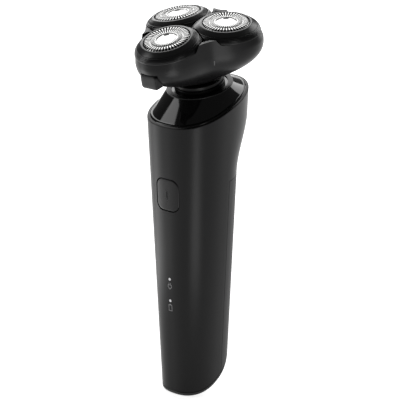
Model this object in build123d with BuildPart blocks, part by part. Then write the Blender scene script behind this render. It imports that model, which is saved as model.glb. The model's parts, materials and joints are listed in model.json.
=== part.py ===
from build123d import *
import os
from math import acos, copysign, cos, pi, radians, sin, sqrt, tan

# Three-head rotary electric shaver. Millimetres, +Z up, front towards -Y.

os.makedirs("parts", exist_ok=True)

# ---------------------------------------------------------------- driving dimensions
BIG = 60.0                    # reach of a cutting tool past anything it cuts
OVERCUT = 1.0                 # how far a cutting tool starts before the face it cuts
SEAM = 0.2                    # shadow gap between outer pieces
SEAT = 0.12                   # clearance of a plugged or seated piece
RUNNING = 0.05                # radial clearance of a shaft in its hole

SCREW_HEAD = 1.8              # head radius over shank radius

# handle
AXIS_Y = 3.0                  # the handle's axis stands this far behind the origin
BASE_HALF_WIDTH = 12.5
TOP_HALF_WIDTH = 18.7
BASE_FRONT = 15.5
TOP_FRONT = 20.3
BASE_REAR = 13.4
TOP_REAR = 17.5
TAPER_HEIGHT = 125.0          # the top sizes hold at this height
FRONT_SQUARENESS = 2.5        # exponent of the section's curve
REAR_SQUARENESS = 2.2
REST_START = 100.0            # finger rest on the back
REST_FULL = 124.0
REST_PROUD = 7.6
RIM_HEIGHT = 129.5            # rim of the body shell, on the axis
RIM_SLOPE = 0.31
BASE_ARC_R = 35.0             # the base curves up towards the back
BASE_ARC_Y = -18.0
BASE_ARC_SWEEP = 65.0
WALL = 2.2
HANDLE_LEVELS = (-6, 100, 106, 112, 118, 124, 146)
OUTLINE_POINTS = 20

# rear grip, base cap
GRIP_EDGE_Y = 2.0
GRIP_THICKNESS = 1.2
GRIP_TOP = 103.0
GRIP_TOP_ARC_R = 30.0
BASE_CAP_THICKNESS = 1.8
BASE_SPIGOT_WALL = 1.3
BASE_SPIGOT_LIFT = 5.4
BASE_SEAL_LOW = 3.0
BASE_SEAL_HIGH = 4.2
BASE_SEAL_SECTION = 0.8

# charging inlet
INLET_Y = -2.0
INLET_SHELL = (8.94, 3.26)
INLET_HOLE = (8.34, 2.56)
INLET_LENGTH = 7.3
INLET_BOTTOM = 4.6
INLET_TONGUE = (6.7, 0.7)
INLET_TONGUE_SETBACK = 1.0
INLET_BACK = 1.2
CHARGE_BOARD = (15.0, 11.0, 1.2)
CHARGE_BOARD_CORNER_R = 1.5
CHARGE_POST_X = 6.2
CHARGE_POST_R = 1.4

# button, lights
BUTTON_Z = 93.0
BUTTON_SIZE = (12.1, 14.2)
BUTTON_CORNER_R = 3.5
BUTTON_GAP = 0.25
BUTTON_THICKNESS = 1.7
BUTTON_TRAVEL = 0.5
BUTTON_STEM_R = 1.3
BUTTON_STEM_LENGTH = 0.6
BUTTON_SEAL_THICKNESS = 0.7
BUTTON_SEAL_REACH = 0.8       # how far the seal laps past the button's outline
BUTTON_SEAL_ROOM = 0.5        # between the seal and the stem
LIGHT_R = 0.6
LIGHT_HEIGHTS = (44.5, 54.5)

# inside of the handle
SPINE_Y = -8.6
SPINE_THICKNESS = 1.5
SPINE_BOTTOM = 24.0
BULKHEAD_Z = 97.0
BULKHEAD_THICKNESS = 2.0
BATTERY_R = 7.0
BATTERY_LENGTH = 50.0
BATTERY_BOTTOM = 31.0
BATTERY_Y = 3.2
BATTERY_PLATE = 1.5
BATTERY_TIP_R = 2.3
BATTERY_TIP_HEIGHT = 1.0
BOARD_Y = -12.4
BOARD_THICKNESS = 1.2
BOARD_HALF_WIDTH = 6.5
BOARD_BOTTOM = 26.0
BOARD_TOP = 108.0
BOARD_POSTS = ((-5.0, 36.0), (5.0, 36.0), (-5.0, 74.0), (5.0, 74.0))
BOARD_POST_R = 1.6
BOARD_SCREW_R = 0.7
BOARD_SCREW_HEAD = 0.8
SWITCH_SIZE = 6.0
SWITCH_HEIGHT = 2.6
SWITCH_CORNER_R = 0.4
SWITCH_PLUNGER_R = 1.4
PRESS_GAP = 0.1               # left between plunger and stem with the button fully in

# top plate, collar, neck; s is measured along the tilted head axis from the collar
HEAD_TILT = 13.0
COLLAR_Y = 2.6
COLLAR_Z = 137.0
COLLAR_R = 14.4
COLLAR_BORE_R = 12.2
COLLAR_HEIGHT = 0.5
PLATE_LIP = 1.1
PLATE_BEVEL = 1.0
PLATE_BEVEL_RISE = 0.6
PLATE_SKIRT = 2.4
PLATE_THICKNESS = 1.8
NECK_RINGS = ((0.0, 1.7, 10.9), (1.7, 2.0, 10.2), (2.0, 3.6, 10.6))   # from s, to s, radius
NECK_SPIGOT_R = 7.9
NECK_SPIGOT_DEPTH = 2.0
POST_R = 6.6
POST_BORE_R = 4.3
POST_TOP = 11.0
POST_FLOOR = 1.0

# motor
DECK_S = -4.2
DECK_THICKNESS = 2.0
DECK_R = 11.6
DECK_HOLE_ROOM = 0.6
MOTOR_R = 10.2
MOTOR_FLAT = 7.7              # half thickness between the motor's flats
MOTOR_LENGTH = 24.0
MOTOR_CAN = 0.6
MOTOR_CAP_LENGTH = 3.0
MOTOR_CAP_FLOOR = 1.0
MOTOR_END_ROOM = 1.0           # between the magnets or rotor and each end of the motor
MAGNET_INNER_R = 7.3
MAGNET_SIDE = 2.0
ROTOR_R = 6.6
ROTOR_SLOT = (5.0, 0.9)
SHAFT_R = 1.0
CHEEK_X = 10.8
CHEEK_THICKNESS = 1.5
CHEEK_HALF_DEPTH = 5.0
MOTOR_SCREW_X = 7.0
MOTOR_SCREW_R = 1.0
SPINDLE_R = 2.0
SPINDLE_LIFT = 0.3
SPINDLE_BORE_DEPTH = 3.0
SPINDLE_WAIST_R = 1.4
SPINDLE_WAIST_S = 6.8
SPINDLE_FLAT = 1.75            # half the distance across the drive tip's flats
SHAFT_SEAL_WALL = 0.8
SHAFT_SEAL_LENGTH = 3.0
DRIVE_PLAY = 0.15              # between a six-sided tip's flats and its socket's
TIP_BALL = 1.14                # ball radius of a drive tip over its half flat
TIP_END = 0.85                 # share of a drive tip's ball that its end flat leaves

# floating head joint
PIVOT_S = 9.0
GIMBAL_INNER_R = 7.4
GIMBAL_OUTER_R = 9.3
GIMBAL_HALF_HEIGHT = 1.4
GIMBAL_PIN_R = 0.8
PIN_END_ROOM = 0.3
PIN_HOLE_START = 5.0
CARRIER_INNER_R = 9.9
CARRIER_OUTER_R = 11.4
CARRIER_TOP = 11.8
HEAD_HOLE_R = 9.75

# head shell: three lobes, r = mean + lobe * cos(3 angle) + round * cos(6 angle)
HEAD_BOTTOM = 5.0
HEAD_FULL = 20.0
HEAD_TOP = 27.6
HEAD_NECK_R = 10.5
LOBE_R = 30.2
WAIST_R = 19.7
LOBE_ROUNDING = -0.35
LOBE_FULLNESS = 2.6           # how soon the underside fills out to the lobes
WAIST_FULLNESS = 2.0          # and to the waists between them
SHELL_FLOOR = 1.4
SHELL_SIDE = 1.2
CREST_INNER = (8.0, 21.3)     # radius and s where the crest between two lobes ends inside
CREST_EDGE = 1.6
BORE_FLARE = 0.45             # the shell opens by this much for each mm above the frames' foot
BORE_REACH = 12.0

# cutters: w is measured along each cutter's own axis, down from the guard's top
CUTTER_NAMES = ("a", "b", "c")
CUTTER_ANGLES = (-90.0, 30.0, 150.0)
CUTTER_S = 28.5
CUTTER_CIRCLE_R = 15.5
CUTTER_SPLAY = 6.7
GUARD_R = 10.0
GUARD_SKIN = 0.5
GUARD_SKIRT = 6.55
GUARD_FLANGE_R = 10.95
GUARD_FLANGE = 0.5
GUARD_DISC_R = 4.0
GUARD_DISC_DROP = 0.25
GUARD_DISC_EDGE = 0.5
GUARD_GROOVE = (6.1, 7.1)
GUARD_GROOVE_DEPTH = 0.3
GUARD_RIM_R = 9.2
GUARD_RIM_DROP = 0.7
GUARD_SLOTS = 60
GUARD_SLOT_CIRCLE_R = 8.5
GUARD_SLOT_LENGTH = 2.4
GUARD_SLOT_DEPTH = 1.2
GUARD_SLOT_WIDTH = 0.36
FRAME_TOP_R = 10.9
FRAME_TOP_W = 0.3
FRAME_FOOT_R = 15.3
FRAME_FOOT_W = 6.0
FRAME_BULGE = 0.9
FRAME_BORE_CLEARANCE = 0.15
FRAME_GAP = 0.3               # half the gap between two neighbouring frames
COVER_RING_R = 12.2
HUB_R = 7.7
HUB_LOW = 22.5
HUB_HIGH = 23.6
COVER_BOTTOM_W = 7.5
RETAINER_THICKNESS = 0.8
RETAINER_HOLE_R = 8.2
RETAINER_EDGE = 0.4
BLADE_DISC_R = 8.8
BLADE_DISC_W = 2.6
BLADE_DISC_THICKNESS = 0.8
BLADE_COUNT = 12
BLADE_CIRCLE_R = 7.9
BLADE_SIZE = (1.6, 0.5)
BLADE_CLEARANCE = 0.45
BLADE_HOLES = 6
BLADE_HOLE_R = 1.3
BLADE_HOLE_CIRCLE_R = 5.0
BLADE_HUB_R = 2.7
BLADE_HUB_BOTTOM_W = 7.0
SOCKET_TOP_W = 2.8
TIP_W = 5.5
TIP_FLAT = 1.6                 # half the distance across the pin tip's flats

# gears
CENTRE_TEETH = 20
DRIVE_TEETH = 16
GEAR_BACKLASH = 0.2
PRESSURE_ANGLE = 20.0
ADDENDUM = 0.9                # in modules
DEDENDUM = 1.2
GEAR_S = 14.0
GEAR_FACE = 2.0
GEAR_BASE_S = 12.4
GEAR_BASE_THICKNESS = 1.2
AXLE_R = 0.9
AXLE_FOOT_R = 1.8
AXLE_FOOT_CLEARANCE = 0.1
AXLE_END_CLEARANCE = 0.4
CENTRE_HUB_R = 3.2
CENTRE_HUB_BOTTOM = 7.6
CENTRE_SOCKET_TOP = 11.4
DRIVE_HUB_R = 2.2
DRIVE_HUB_TOP = 17.9
PIN_R = 1.2
PIN_COLLAR_R = 1.9
PIN_COLLAR_S = 20.0
PIN_COLLAR_THICKNESS = 0.5
SPRING_R = 1.62
SPRING_WIRE_R = 0.2
SPRING_TURNS = 3
SPRING_END = 0.3              # wire centre above or below its seat
TRAY_S = 16.6
TRAY_THICKNESS = 1.0
TRAY_BOSS_WALL = 1.0
TRAY_SCREW_R = 0.8
TRAY_SCREW_HEAD = 0.7
TRAY_SCREW_CIRCLE_R = 10.5

# release tab under the front lobe
TAB_HALF_WIDTH = 4.4
TAB_LOW = 11.6
TAB_HIGH = 17.8
TAB_OUTER_Y = -30.4
TAB_CORNER_R = 1.2
TAB_EDGE = 0.7
TAB_TRAVEL = 0.8
TAB_INNER_Y = -23.4
TAB_GAP = 0.25

# ---------------------------------------------------------------- planes
HANDLE = Plane(origin=(0, AXIS_Y, 0))
SIDE = Plane(origin=(0, AXIS_Y, 0), x_dir=(0, 1, 0), z_dir=(1, 0, 0))
FRONT = Plane(origin=(0, AXIS_Y, 0), x_dir=(1, 0, 0), z_dir=(0, -1, 0))
RIM = Plane(origin=(0, AXIS_Y, RIM_HEIGHT), x_dir=(1, 0, 0), z_dir=(0, -RIM_SLOPE, 1))
HEAD = Plane(
    origin=(0, AXIS_Y + COLLAR_Y, COLLAR_Z),
    x_dir=(1, 0, 0),
    z_dir=(0, -sin(radians(HEAD_TILT)), cos(radians(HEAD_TILT))),
)
HEAD_AXIS = Axis(HEAD.origin, HEAD.z_dir)

PIN_CIRCLE_R = CUTTER_CIRCLE_R - TIP_W * sin(radians(CUTTER_SPLAY))
TIP_S = CUTTER_S - TIP_W * cos(radians(CUTTER_SPLAY))
MODULE = 2 * PIN_CIRCLE_R / (CENTRE_TEETH + DRIVE_TEETH)


def upright(plane):
    """The plane that holds the given plane's x direction and its normal."""
    return Plane(origin=plane.origin, x_dir=plane.x_dir, z_dir=-plane.y_dir)


def lobe_direction(angle):
    """Unit vector across the head axis, at an angle in the head's own plane."""
    return HEAD.x_dir * cos(radians(angle)) + HEAD.y_dir * sin(radians(angle))


def cutter_plane(angle):
    """Plane on top of one guard, its normal splayed outwards from the head axis."""
    outward = lobe_direction(angle)
    splay = radians(CUTTER_SPLAY)
    return Plane(
        origin=HEAD.origin + HEAD.z_dir * CUTTER_S + outward * CUTTER_CIRCLE_R,
        x_dir=lobe_direction(angle + 90),
        z_dir=HEAD.z_dir * cos(splay) + outward * sin(splay),
    )


def pin_plane(angle, s):
    """Plane across one drive gear's axis, which is parallel to the head axis."""
    return Plane(
        origin=HEAD.origin + HEAD.z_dir * s + lobe_direction(angle) * PIN_CIRCLE_R,
        x_dir=HEAD.x_dir,
        z_dir=HEAD.z_dir,
    )


PIVOT = HEAD.offset(PIVOT_S)
PITCH_PLANE = Plane(origin=PIVOT.origin, x_dir=HEAD.y_dir, z_dir=HEAD.x_dir)
ROLL_PLANE = Plane(origin=PIVOT.origin, x_dir=HEAD.x_dir, z_dir=HEAD.y_dir)


def pin_pair(plane, inner, outer, radius):
    """Two pins on one line, either side of the head axis."""
    with BuildPart() as pins:
        for side in (1, -1):
            with BuildSketch(plane.offset(side * inner)):
                Circle(radius)
            extrude(amount=side * (outer - inner))
    return pins.part


# ---------------------------------------------------------------- handle volumes
def smooth_step(t):
    t = min(max(t, 0.0), 1.0)
    return t * t * (3 - 2 * t)


def oval_point(angle, z, inset):
    """Point of the handle's section at height z, moved in by the inset."""
    taper = z / TAPER_HEIGHT
    rest = REST_PROUD * smooth_step((z - REST_START) / (REST_FULL - REST_START))
    side = BASE_HALF_WIDTH + (TOP_HALF_WIDTH - BASE_HALF_WIDTH) * taper - inset
    if sin(angle) > 0:
        depth = BASE_REAR + (TOP_REAR - BASE_REAR) * taper + rest - inset
        power = 2 / REAR_SQUARENESS
    else:
        depth = BASE_FRONT + (TOP_FRONT - BASE_FRONT) * taper - inset
        power = 2 / FRONT_SQUARENESS
    x = copysign(side * abs(cos(angle)) ** power, cos(angle))
    y = copysign(depth * abs(sin(angle)) ** power, sin(angle))
    return x, y


def turn_angles():
    return [2 * pi * index / OUTLINE_POINTS for index in range(OUTLINE_POINTS)]


def rim_point(angle, lift, inset):
    """Point of the handle's section by the tilted rim plane, in that plane's own axes."""
    steepness = sqrt(1 + RIM_SLOPE**2)
    x, y = 0.0, 0.0
    for _ in range(6):
        x, y = oval_point(angle, RIM_HEIGHT + RIM_SLOPE * y + lift * steepness, inset)
    return x, y * steepness + lift * RIM_SLOPE


def handle_volume(inset):
    """The handle's whole volume, moved in by the inset."""
    with BuildPart() as volume:
        for level in HANDLE_LEVELS:
            with BuildSketch(HANDLE.offset(level)):
                with BuildLine():
                    Spline([oval_point(angle, level, inset) for angle in turn_angles()], periodic=True)
                make_face()
        loft(ruled=True)
    return volume.part


def below_base(lift):
    """Everything under the curved base surface, when that is lifted along its normal."""
    with BuildPart() as below:
        with BuildSketch(SIDE):
            with BuildLine():
                arc = CenterArc((BASE_ARC_Y, BASE_ARC_R), BASE_ARC_R - lift, -90, BASE_ARC_SWEEP)
                rear = arc @ 1
                Polyline(rear, (BIG, rear.Y), (BIG, -BIG), (-BIG, -BIG), (-BIG, lift), arc @ 0)
            make_face()
        extrude(amount=BIG, both=True)
    return below.part


def above_plane(plane):
    """Everything on the side of the plane that its normal points to."""
    with BuildPart() as above:
        with BuildSketch(plane):
            Rectangle(4 * BIG, 4 * BIG)
        extrude(amount=2 * BIG)
    return above.part


def base_ring(outer_inset, inner_inset, low, high):
    """Ring that follows the handle's wall between two lifts of the base surface."""
    with BuildPart() as ring:
        add(handle_volume(outer_inset))
        add(handle_volume(inner_inset), mode=Mode.SUBTRACT)
        add(below_base(high), mode=Mode.INTERSECT)
        add(below_base(low), mode=Mode.SUBTRACT)
    return ring.part


def grip_region(gap):
    """Solid that marks where the rear grip lies, grown by a gap."""
    with BuildPart() as region:
        with BuildSketch(FRONT):
            with Locations((0, GRIP_TOP - GRIP_TOP_ARC_R)):
                Circle(GRIP_TOP_ARC_R + gap)
            with Locations((0, GRIP_TOP - GRIP_TOP_ARC_R - BIG)):
                Rectangle(2 * GRIP_TOP_ARC_R + 2 * gap, 2 * BIG)
        extrude(amount=-BIG)
        with BuildSketch(SIDE):
            with Locations((GRIP_EDGE_Y - gap - BIG / 2, 0)):
                Rectangle(BIG, 4 * BIG)
        extrude(amount=BIG, both=True, mode=Mode.SUBTRACT)
        add(handle_volume(-SEAM), mode=Mode.INTERSECT)
        add(handle_volume(GRIP_THICKNESS + gap), mode=Mode.SUBTRACT)
    return region.part


def button_block(grow):
    """Block through the front wall with the button's outline, grown on each side."""
    with BuildPart() as block:
        with BuildSketch(FRONT):
            with Locations((0, BUTTON_Z)):
                RectangleRounded(
                    BUTTON_SIZE[0] + 2 * grow, BUTTON_SIZE[1] + 2 * grow, BUTTON_CORNER_R + grow
                )
        extrude(amount=BIG)
    return block.part


def finish(builder, name):
    builder.part.label = name
    export_step(builder.part, f"parts/{name}.step")


# ---------------------------------------------------------------- handle pieces
# the wall is thinner at the rim, where the top plate's skirt plugs in
with BuildPart() as lip_cut:
    add(handle_volume(PLATE_LIP))
    add(above_plane(RIM.offset(-PLATE_SKIRT - SEAT)), mode=Mode.INTERSECT)

with BuildPart() as body_shell:
    add(handle_volume(0))
    add(handle_volume(WALL), mode=Mode.SUBTRACT)
    add(below_base(BASE_CAP_THICKNESS + SEAM), mode=Mode.SUBTRACT)
    add(above_plane(RIM.offset(0)), mode=Mode.SUBTRACT)
    add(grip_region(SEAM), mode=Mode.SUBTRACT)
    add(button_block(BUTTON_GAP), mode=Mode.SUBTRACT)
    with BuildSketch(FRONT):
        with Locations(*[(0, height) for height in LIGHT_HEIGHTS]):
            Circle(LIGHT_R + RUNNING)
    extrude(amount=BIG, mode=Mode.SUBTRACT)
    add(lip_cut.part, mode=Mode.SUBTRACT)
finish(body_shell, "body_shell")

with BuildPart() as rear_grip:
    add(grip_region(0))
    add(handle_volume(0), mode=Mode.INTERSECT)
    add(below_base(BASE_CAP_THICKNESS + SEAM), mode=Mode.SUBTRACT)
finish(rear_grip, "rear_grip")

with BuildPart() as base_cap:
    add(handle_volume(0))
    add(below_base(BASE_CAP_THICKNESS), mode=Mode.INTERSECT)
    add(below_base(0), mode=Mode.SUBTRACT)
    add(
        base_ring(WALL + SEAT, WALL + SEAT + BASE_SPIGOT_WALL, BASE_CAP_THICKNESS / 2, BASE_SPIGOT_LIFT)
    )
    add(
        base_ring(WALL - SEAT, WALL + SEAT + BASE_SEAL_SECTION, BASE_SEAL_LOW, BASE_SEAL_HIGH),
        mode=Mode.SUBTRACT,
    )
    with BuildSketch(HANDLE):
        with Locations((-CHARGE_POST_X, INLET_Y), (CHARGE_POST_X, INLET_Y)):
            Circle(CHARGE_POST_R)
    extrude(amount=INLET_BOTTOM + INLET_LENGTH)
    add(below_base(0), mode=Mode.SUBTRACT)
    with BuildSketch(HANDLE):
        with Locations((0, INLET_Y)):
            SlotOverall(INLET_SHELL[0] + 2 * SEAM, INLET_SHELL[1] + 2 * SEAM)
    extrude(amount=INLET_BOTTOM + INLET_LENGTH, mode=Mode.SUBTRACT)
finish(base_cap, "base_cap")

with BuildPart() as base_seal:
    add(
        base_ring(
            WALL + RUNNING,
            WALL + SEAT + BASE_SEAL_SECTION - RUNNING,
            BASE_SEAL_LOW + RUNNING,
            BASE_SEAL_HIGH - RUNNING,
        )
    )
finish(base_seal, "base_seal")

with BuildPart() as charge_socket:
    with BuildSketch(HANDLE.offset(INLET_BOTTOM)):
        with Locations((0, INLET_Y)):
            SlotOverall(*INLET_SHELL)
            SlotOverall(*INLET_HOLE, mode=Mode.SUBTRACT)
    extrude(amount=INLET_LENGTH)
    with BuildSketch(HANDLE.offset(INLET_BOTTOM + INLET_LENGTH - INLET_BACK)):
        with Locations((0, INLET_Y)):
            SlotOverall(*INLET_SHELL)
    extrude(amount=INLET_BACK)
    with BuildSketch(HANDLE.offset(INLET_BOTTOM + INLET_TONGUE_SETBACK)):
        with Locations((0, INLET_Y)):
            Rectangle(*INLET_TONGUE)
    extrude(amount=INLET_LENGTH - INLET_TONGUE_SETBACK)
finish(charge_socket, "charge_socket")

with BuildPart() as charge_board:
    with BuildSketch(HANDLE.offset(INLET_BOTTOM + INLET_LENGTH)):
        with Locations((0, INLET_Y)):
            Rectangle(CHARGE_BOARD[0], CHARGE_BOARD[1])
    extrude(amount=CHARGE_BOARD[2])
    fillet(charge_board.edges().filter_by(Axis.Z), radius=CHARGE_BOARD_CORNER_R)
finish(charge_board, "charge_board")

# ---------------------------------------------------------------- button, lights, board
BUTTON_SURFACE = -oval_point(-pi / 2, BUTTON_Z, 0)[1]

with BuildPart() as power_button:
    add(button_block(0))
    add(handle_volume(0), mode=Mode.INTERSECT)
    add(handle_volume(BUTTON_THICKNESS), mode=Mode.SUBTRACT)
    with BuildSketch(FRONT.offset(BUTTON_SURFACE - BUTTON_THICKNESS - BUTTON_STEM_LENGTH)):
        with Locations((0, BUTTON_Z)):
            Circle(BUTTON_STEM_R)
    extrude(amount=BUTTON_STEM_LENGTH + BUTTON_THICKNESS / 2)
finish(power_button, "power_button")

with BuildPart() as button_seal:
    add(button_block(BUTTON_SEAL_REACH))
    add(handle_volume(WALL + RUNNING), mode=Mode.INTERSECT)
    add(handle_volume(WALL + RUNNING + BUTTON_SEAL_THICKNESS), mode=Mode.SUBTRACT)
    with BuildSketch(FRONT):
        with Locations((0, BUTTON_Z)):
            Circle(BUTTON_STEM_R + BUTTON_SEAL_ROOM)
    extrude(amount=BIG, mode=Mode.SUBTRACT)
finish(button_seal, "button_seal")

with BuildPart() as circuit_board:
    with BuildSketch(FRONT.offset(-BOARD_Y - BOARD_THICKNESS)):
        with Locations((0, (BOARD_BOTTOM + BOARD_TOP) / 2)):
            Rectangle(2 * BOARD_HALF_WIDTH, BOARD_TOP - BOARD_BOTTOM)
        with Locations(*BOARD_POSTS):
            Circle(BOARD_SCREW_R + RUNNING, mode=Mode.SUBTRACT)
    extrude(amount=BOARD_THICKNESS)
finish(circuit_board, "circuit_board")

SWITCH_PLUNGER_END = BUTTON_SURFACE - BUTTON_THICKNESS - BUTTON_STEM_LENGTH - BUTTON_TRAVEL - PRESS_GAP

with BuildPart() as button_switch:
    with BuildSketch(FRONT.offset(-BOARD_Y)):
        with Locations((0, BUTTON_Z)):
            RectangleRounded(SWITCH_SIZE, SWITCH_SIZE, SWITCH_CORNER_R)
    extrude(amount=SWITCH_HEIGHT)
    with BuildSketch(FRONT.offset(-BOARD_Y + SWITCH_HEIGHT)):
        with Locations((0, BUTTON_Z)):
            Circle(SWITCH_PLUNGER_R)
    extrude(amount=SWITCH_PLUNGER_END + BOARD_Y - SWITCH_HEIGHT)
finish(button_switch, "button_switch")

with BuildPart() as light_pipes:
    with BuildSketch(FRONT.offset(-BOARD_Y)):
        with Locations(*[(0, height) for height in LIGHT_HEIGHTS]):
            Circle(LIGHT_R)
    extrude(amount=BIG)
    add(handle_volume(0), mode=Mode.INTERSECT)
finish(light_pipes, "light_pipes")

# ---------------------------------------------------------------- chassis, battery, motor
BATTERY_TOP = BATTERY_BOTTOM + BATTERY_LENGTH

with BuildPart() as chassis:
    # cheeks beside the motor, down to the bulkhead
    with BuildSketch(HEAD.offset(DECK_S)):
        with Locations((-CHEEK_X - CHEEK_THICKNESS / 2, 0), (CHEEK_X + CHEEK_THICKNESS / 2, 0)):
            Rectangle(CHEEK_THICKNESS, 2 * CHEEK_HALF_DEPTH)
    extrude(amount=-BIG)
    with BuildSketch(HANDLE.offset(BULKHEAD_Z)):
        Rectangle(2 * BIG, 2 * BIG)
    extrude(amount=-BIG, mode=Mode.SUBTRACT)
    # bulkhead across the shell, spine in front of the battery, plates at the battery's ends
    with BuildSketch(HANDLE.offset(BULKHEAD_Z)):
        with Locations((0, (BIG + SPINE_Y) / 2)):
            Rectangle(2 * BIG, BIG - SPINE_Y)
    extrude(amount=BULKHEAD_THICKNESS)
    with BuildSketch(FRONT.offset(-SPINE_Y)):
        with Locations((0, (SPINE_BOTTOM + BULKHEAD_Z + BULKHEAD_THICKNESS) / 2)):
            Rectangle(2 * BIG, BULKHEAD_Z + BULKHEAD_THICKNESS - SPINE_BOTTOM)
    extrude(amount=SPINE_THICKNESS)
    for level in (BATTERY_BOTTOM - BATTERY_PLATE, BATTERY_TOP):
        with BuildSketch(HANDLE.offset(level)):
            with Locations((0, (BIG + SPINE_Y) / 2)):
                Rectangle(2 * BIG, BIG - SPINE_Y)
        extrude(amount=BATTERY_PLATE)
    with BuildSketch(FRONT.offset(-SPINE_Y + SPINE_THICKNESS)):
        with Locations(*BOARD_POSTS):
            Circle(BOARD_POST_R)
    extrude(amount=-BOARD_Y - BOARD_THICKNESS + SPINE_Y - SPINE_THICKNESS)
    add(handle_volume(WALL + SEAT), mode=Mode.INTERSECT)
    # deck that the motor hangs from
    with BuildSketch(HEAD.offset(DECK_S)):
        Circle(DECK_R)
        Circle(SPINDLE_R + DECK_HOLE_ROOM, mode=Mode.SUBTRACT)
        with Locations((-MOTOR_SCREW_X, 0), (MOTOR_SCREW_X, 0)):
            Circle(MOTOR_SCREW_R + RUNNING, mode=Mode.SUBTRACT)
    extrude(amount=DECK_THICKNESS)
    with BuildSketch(HEAD.offset(DECK_S + DECK_THICKNESS)):
        with Locations((-MOTOR_SCREW_X, 0), (MOTOR_SCREW_X, 0)):
            Circle(SCREW_HEAD * MOTOR_SCREW_R + RUNNING)
    extrude(amount=-DECK_THICKNESS / 2, mode=Mode.SUBTRACT)
    with BuildSketch(FRONT):
        with Locations(*BOARD_POSTS):
            Circle(BOARD_SCREW_R)
    extrude(amount=BIG, mode=Mode.SUBTRACT)
finish(chassis, "chassis")

with BuildPart() as board_screws:
    with BuildSketch(FRONT.offset(-SPINE_Y)):
        with Locations(*BOARD_POSTS):
            Circle(BOARD_SCREW_R - RUNNING / 5)
    extrude(amount=SPINE_Y - BOARD_Y)
    with BuildSketch(FRONT.offset(-BOARD_Y)):
        with Locations(*BOARD_POSTS):
            Circle(SCREW_HEAD * BOARD_SCREW_R)
    extrude(amount=BOARD_SCREW_HEAD)
finish(board_screws, "board_screws")

with BuildPart() as battery:
    with BuildSketch(HANDLE.offset(BATTERY_BOTTOM + SEAM)):
        with Locations((0, BATTERY_Y)):
            Circle(BATTERY_R)
    extrude(amount=BATTERY_LENGTH - 2 * SEAM - BATTERY_TIP_HEIGHT)
    with BuildSketch(HANDLE.offset(BATTERY_TOP - SEAM - BATTERY_TIP_HEIGHT)):
        with Locations((0, BATTERY_Y)):
            Circle(BATTERY_TIP_R)
    extrude(amount=BATTERY_TIP_HEIGHT)
finish(battery, "battery")


with BuildPart() as motor_can:
    with BuildSketch(HEAD.offset(DECK_S)):
        Circle(MOTOR_R)
        Rectangle(2 * MOTOR_R, 2 * MOTOR_FLAT, mode=Mode.INTERSECT)
    extrude(amount=MOTOR_CAP_LENGTH - MOTOR_LENGTH)
    with BuildSketch(HEAD.offset(DECK_S - MOTOR_CAN)):
        Circle(MOTOR_R - MOTOR_CAN)
        Rectangle(2 * MOTOR_R, 2 * (MOTOR_FLAT - MOTOR_CAN), mode=Mode.INTERSECT)
    extrude(amount=-BIG, mode=Mode.SUBTRACT)
    with BuildSketch(HEAD.offset(DECK_S)):
        Circle(SHAFT_R + RUNNING)
        with Locations((-MOTOR_SCREW_X, 0), (MOTOR_SCREW_X, 0)):
            Circle(MOTOR_SCREW_R)
    extrude(amount=-2 * MOTOR_CAN, mode=Mode.SUBTRACT)
finish(motor_can, "motor_can")

with BuildPart() as motor_end_cap:
    with BuildSketch(HEAD.offset(DECK_S - MOTOR_LENGTH)):
        Circle(MOTOR_R)
        Rectangle(2 * MOTOR_R, 2 * MOTOR_FLAT, mode=Mode.INTERSECT)
    extrude(amount=MOTOR_CAP_LENGTH)
    with BuildSketch(HEAD.offset(DECK_S - MOTOR_LENGTH + MOTOR_CAP_FLOOR)):
        Circle(SHAFT_R + RUNNING)
    extrude(amount=MOTOR_CAP_LENGTH, mode=Mode.SUBTRACT)
finish(motor_end_cap, "motor_end_cap")

MAGNET_LENGTH = MOTOR_LENGTH - MOTOR_CAN - MOTOR_CAP_LENGTH - 2 * MOTOR_END_ROOM
with BuildPart() as motor_magnets:
    with BuildSketch(HEAD.offset(DECK_S - MOTOR_CAN - MOTOR_END_ROOM)):
        Circle(MOTOR_R - MOTOR_CAN - RUNNING)
        Circle(MAGNET_INNER_R, mode=Mode.SUBTRACT)
        Rectangle(2 * MOTOR_R, 2 * (MOTOR_FLAT - MAGNET_SIDE), mode=Mode.INTERSECT)
    extrude(amount=-MAGNET_LENGTH)
finish(motor_magnets, "motor_magnets")

with BuildPart() as motor_screws:
    with BuildSketch(HEAD.offset(DECK_S - MOTOR_CAN)):
        with Locations((-MOTOR_SCREW_X, 0), (MOTOR_SCREW_X, 0)):
            Circle(MOTOR_SCREW_R - RUNNING / 5)
    extrude(amount=MOTOR_CAN + DECK_THICKNESS)
    with BuildSketch(HEAD.offset(DECK_S + DECK_THICKNESS)):
        with Locations((-MOTOR_SCREW_X, 0), (MOTOR_SCREW_X, 0)):
            Circle(SCREW_HEAD * MOTOR_SCREW_R)
    extrude(amount=-DECK_THICKNESS / 2)
finish(motor_screws, "motor_screws")

# ---------------------------------------------------------------- top plate, collar, neck
def plate_cone(skirt, drop, inset):
    """Skirt, bevel and cone up to the collar, lowered by the drop and moved in."""
    with BuildPart() as cone:
        for lift, edge in ((-skirt, inset), (-drop, inset), (PLATE_BEVEL_RISE - drop, inset + PLATE_BEVEL)):
            with BuildSketch(RIM.offset(lift)):
                with BuildLine():
                    Spline([rim_point(angle, lift, edge) for angle in turn_angles()], periodic=True)
                make_face()
        top_r = COLLAR_R - inset + PLATE_LIP
        with BuildSketch(HEAD.offset(-drop)):
            with BuildLine():
                Spline([(top_r * cos(angle), top_r * sin(angle)) for angle in turn_angles()], periodic=True)
            make_face()
        loft(ruled=True)
    return cone.part


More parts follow.
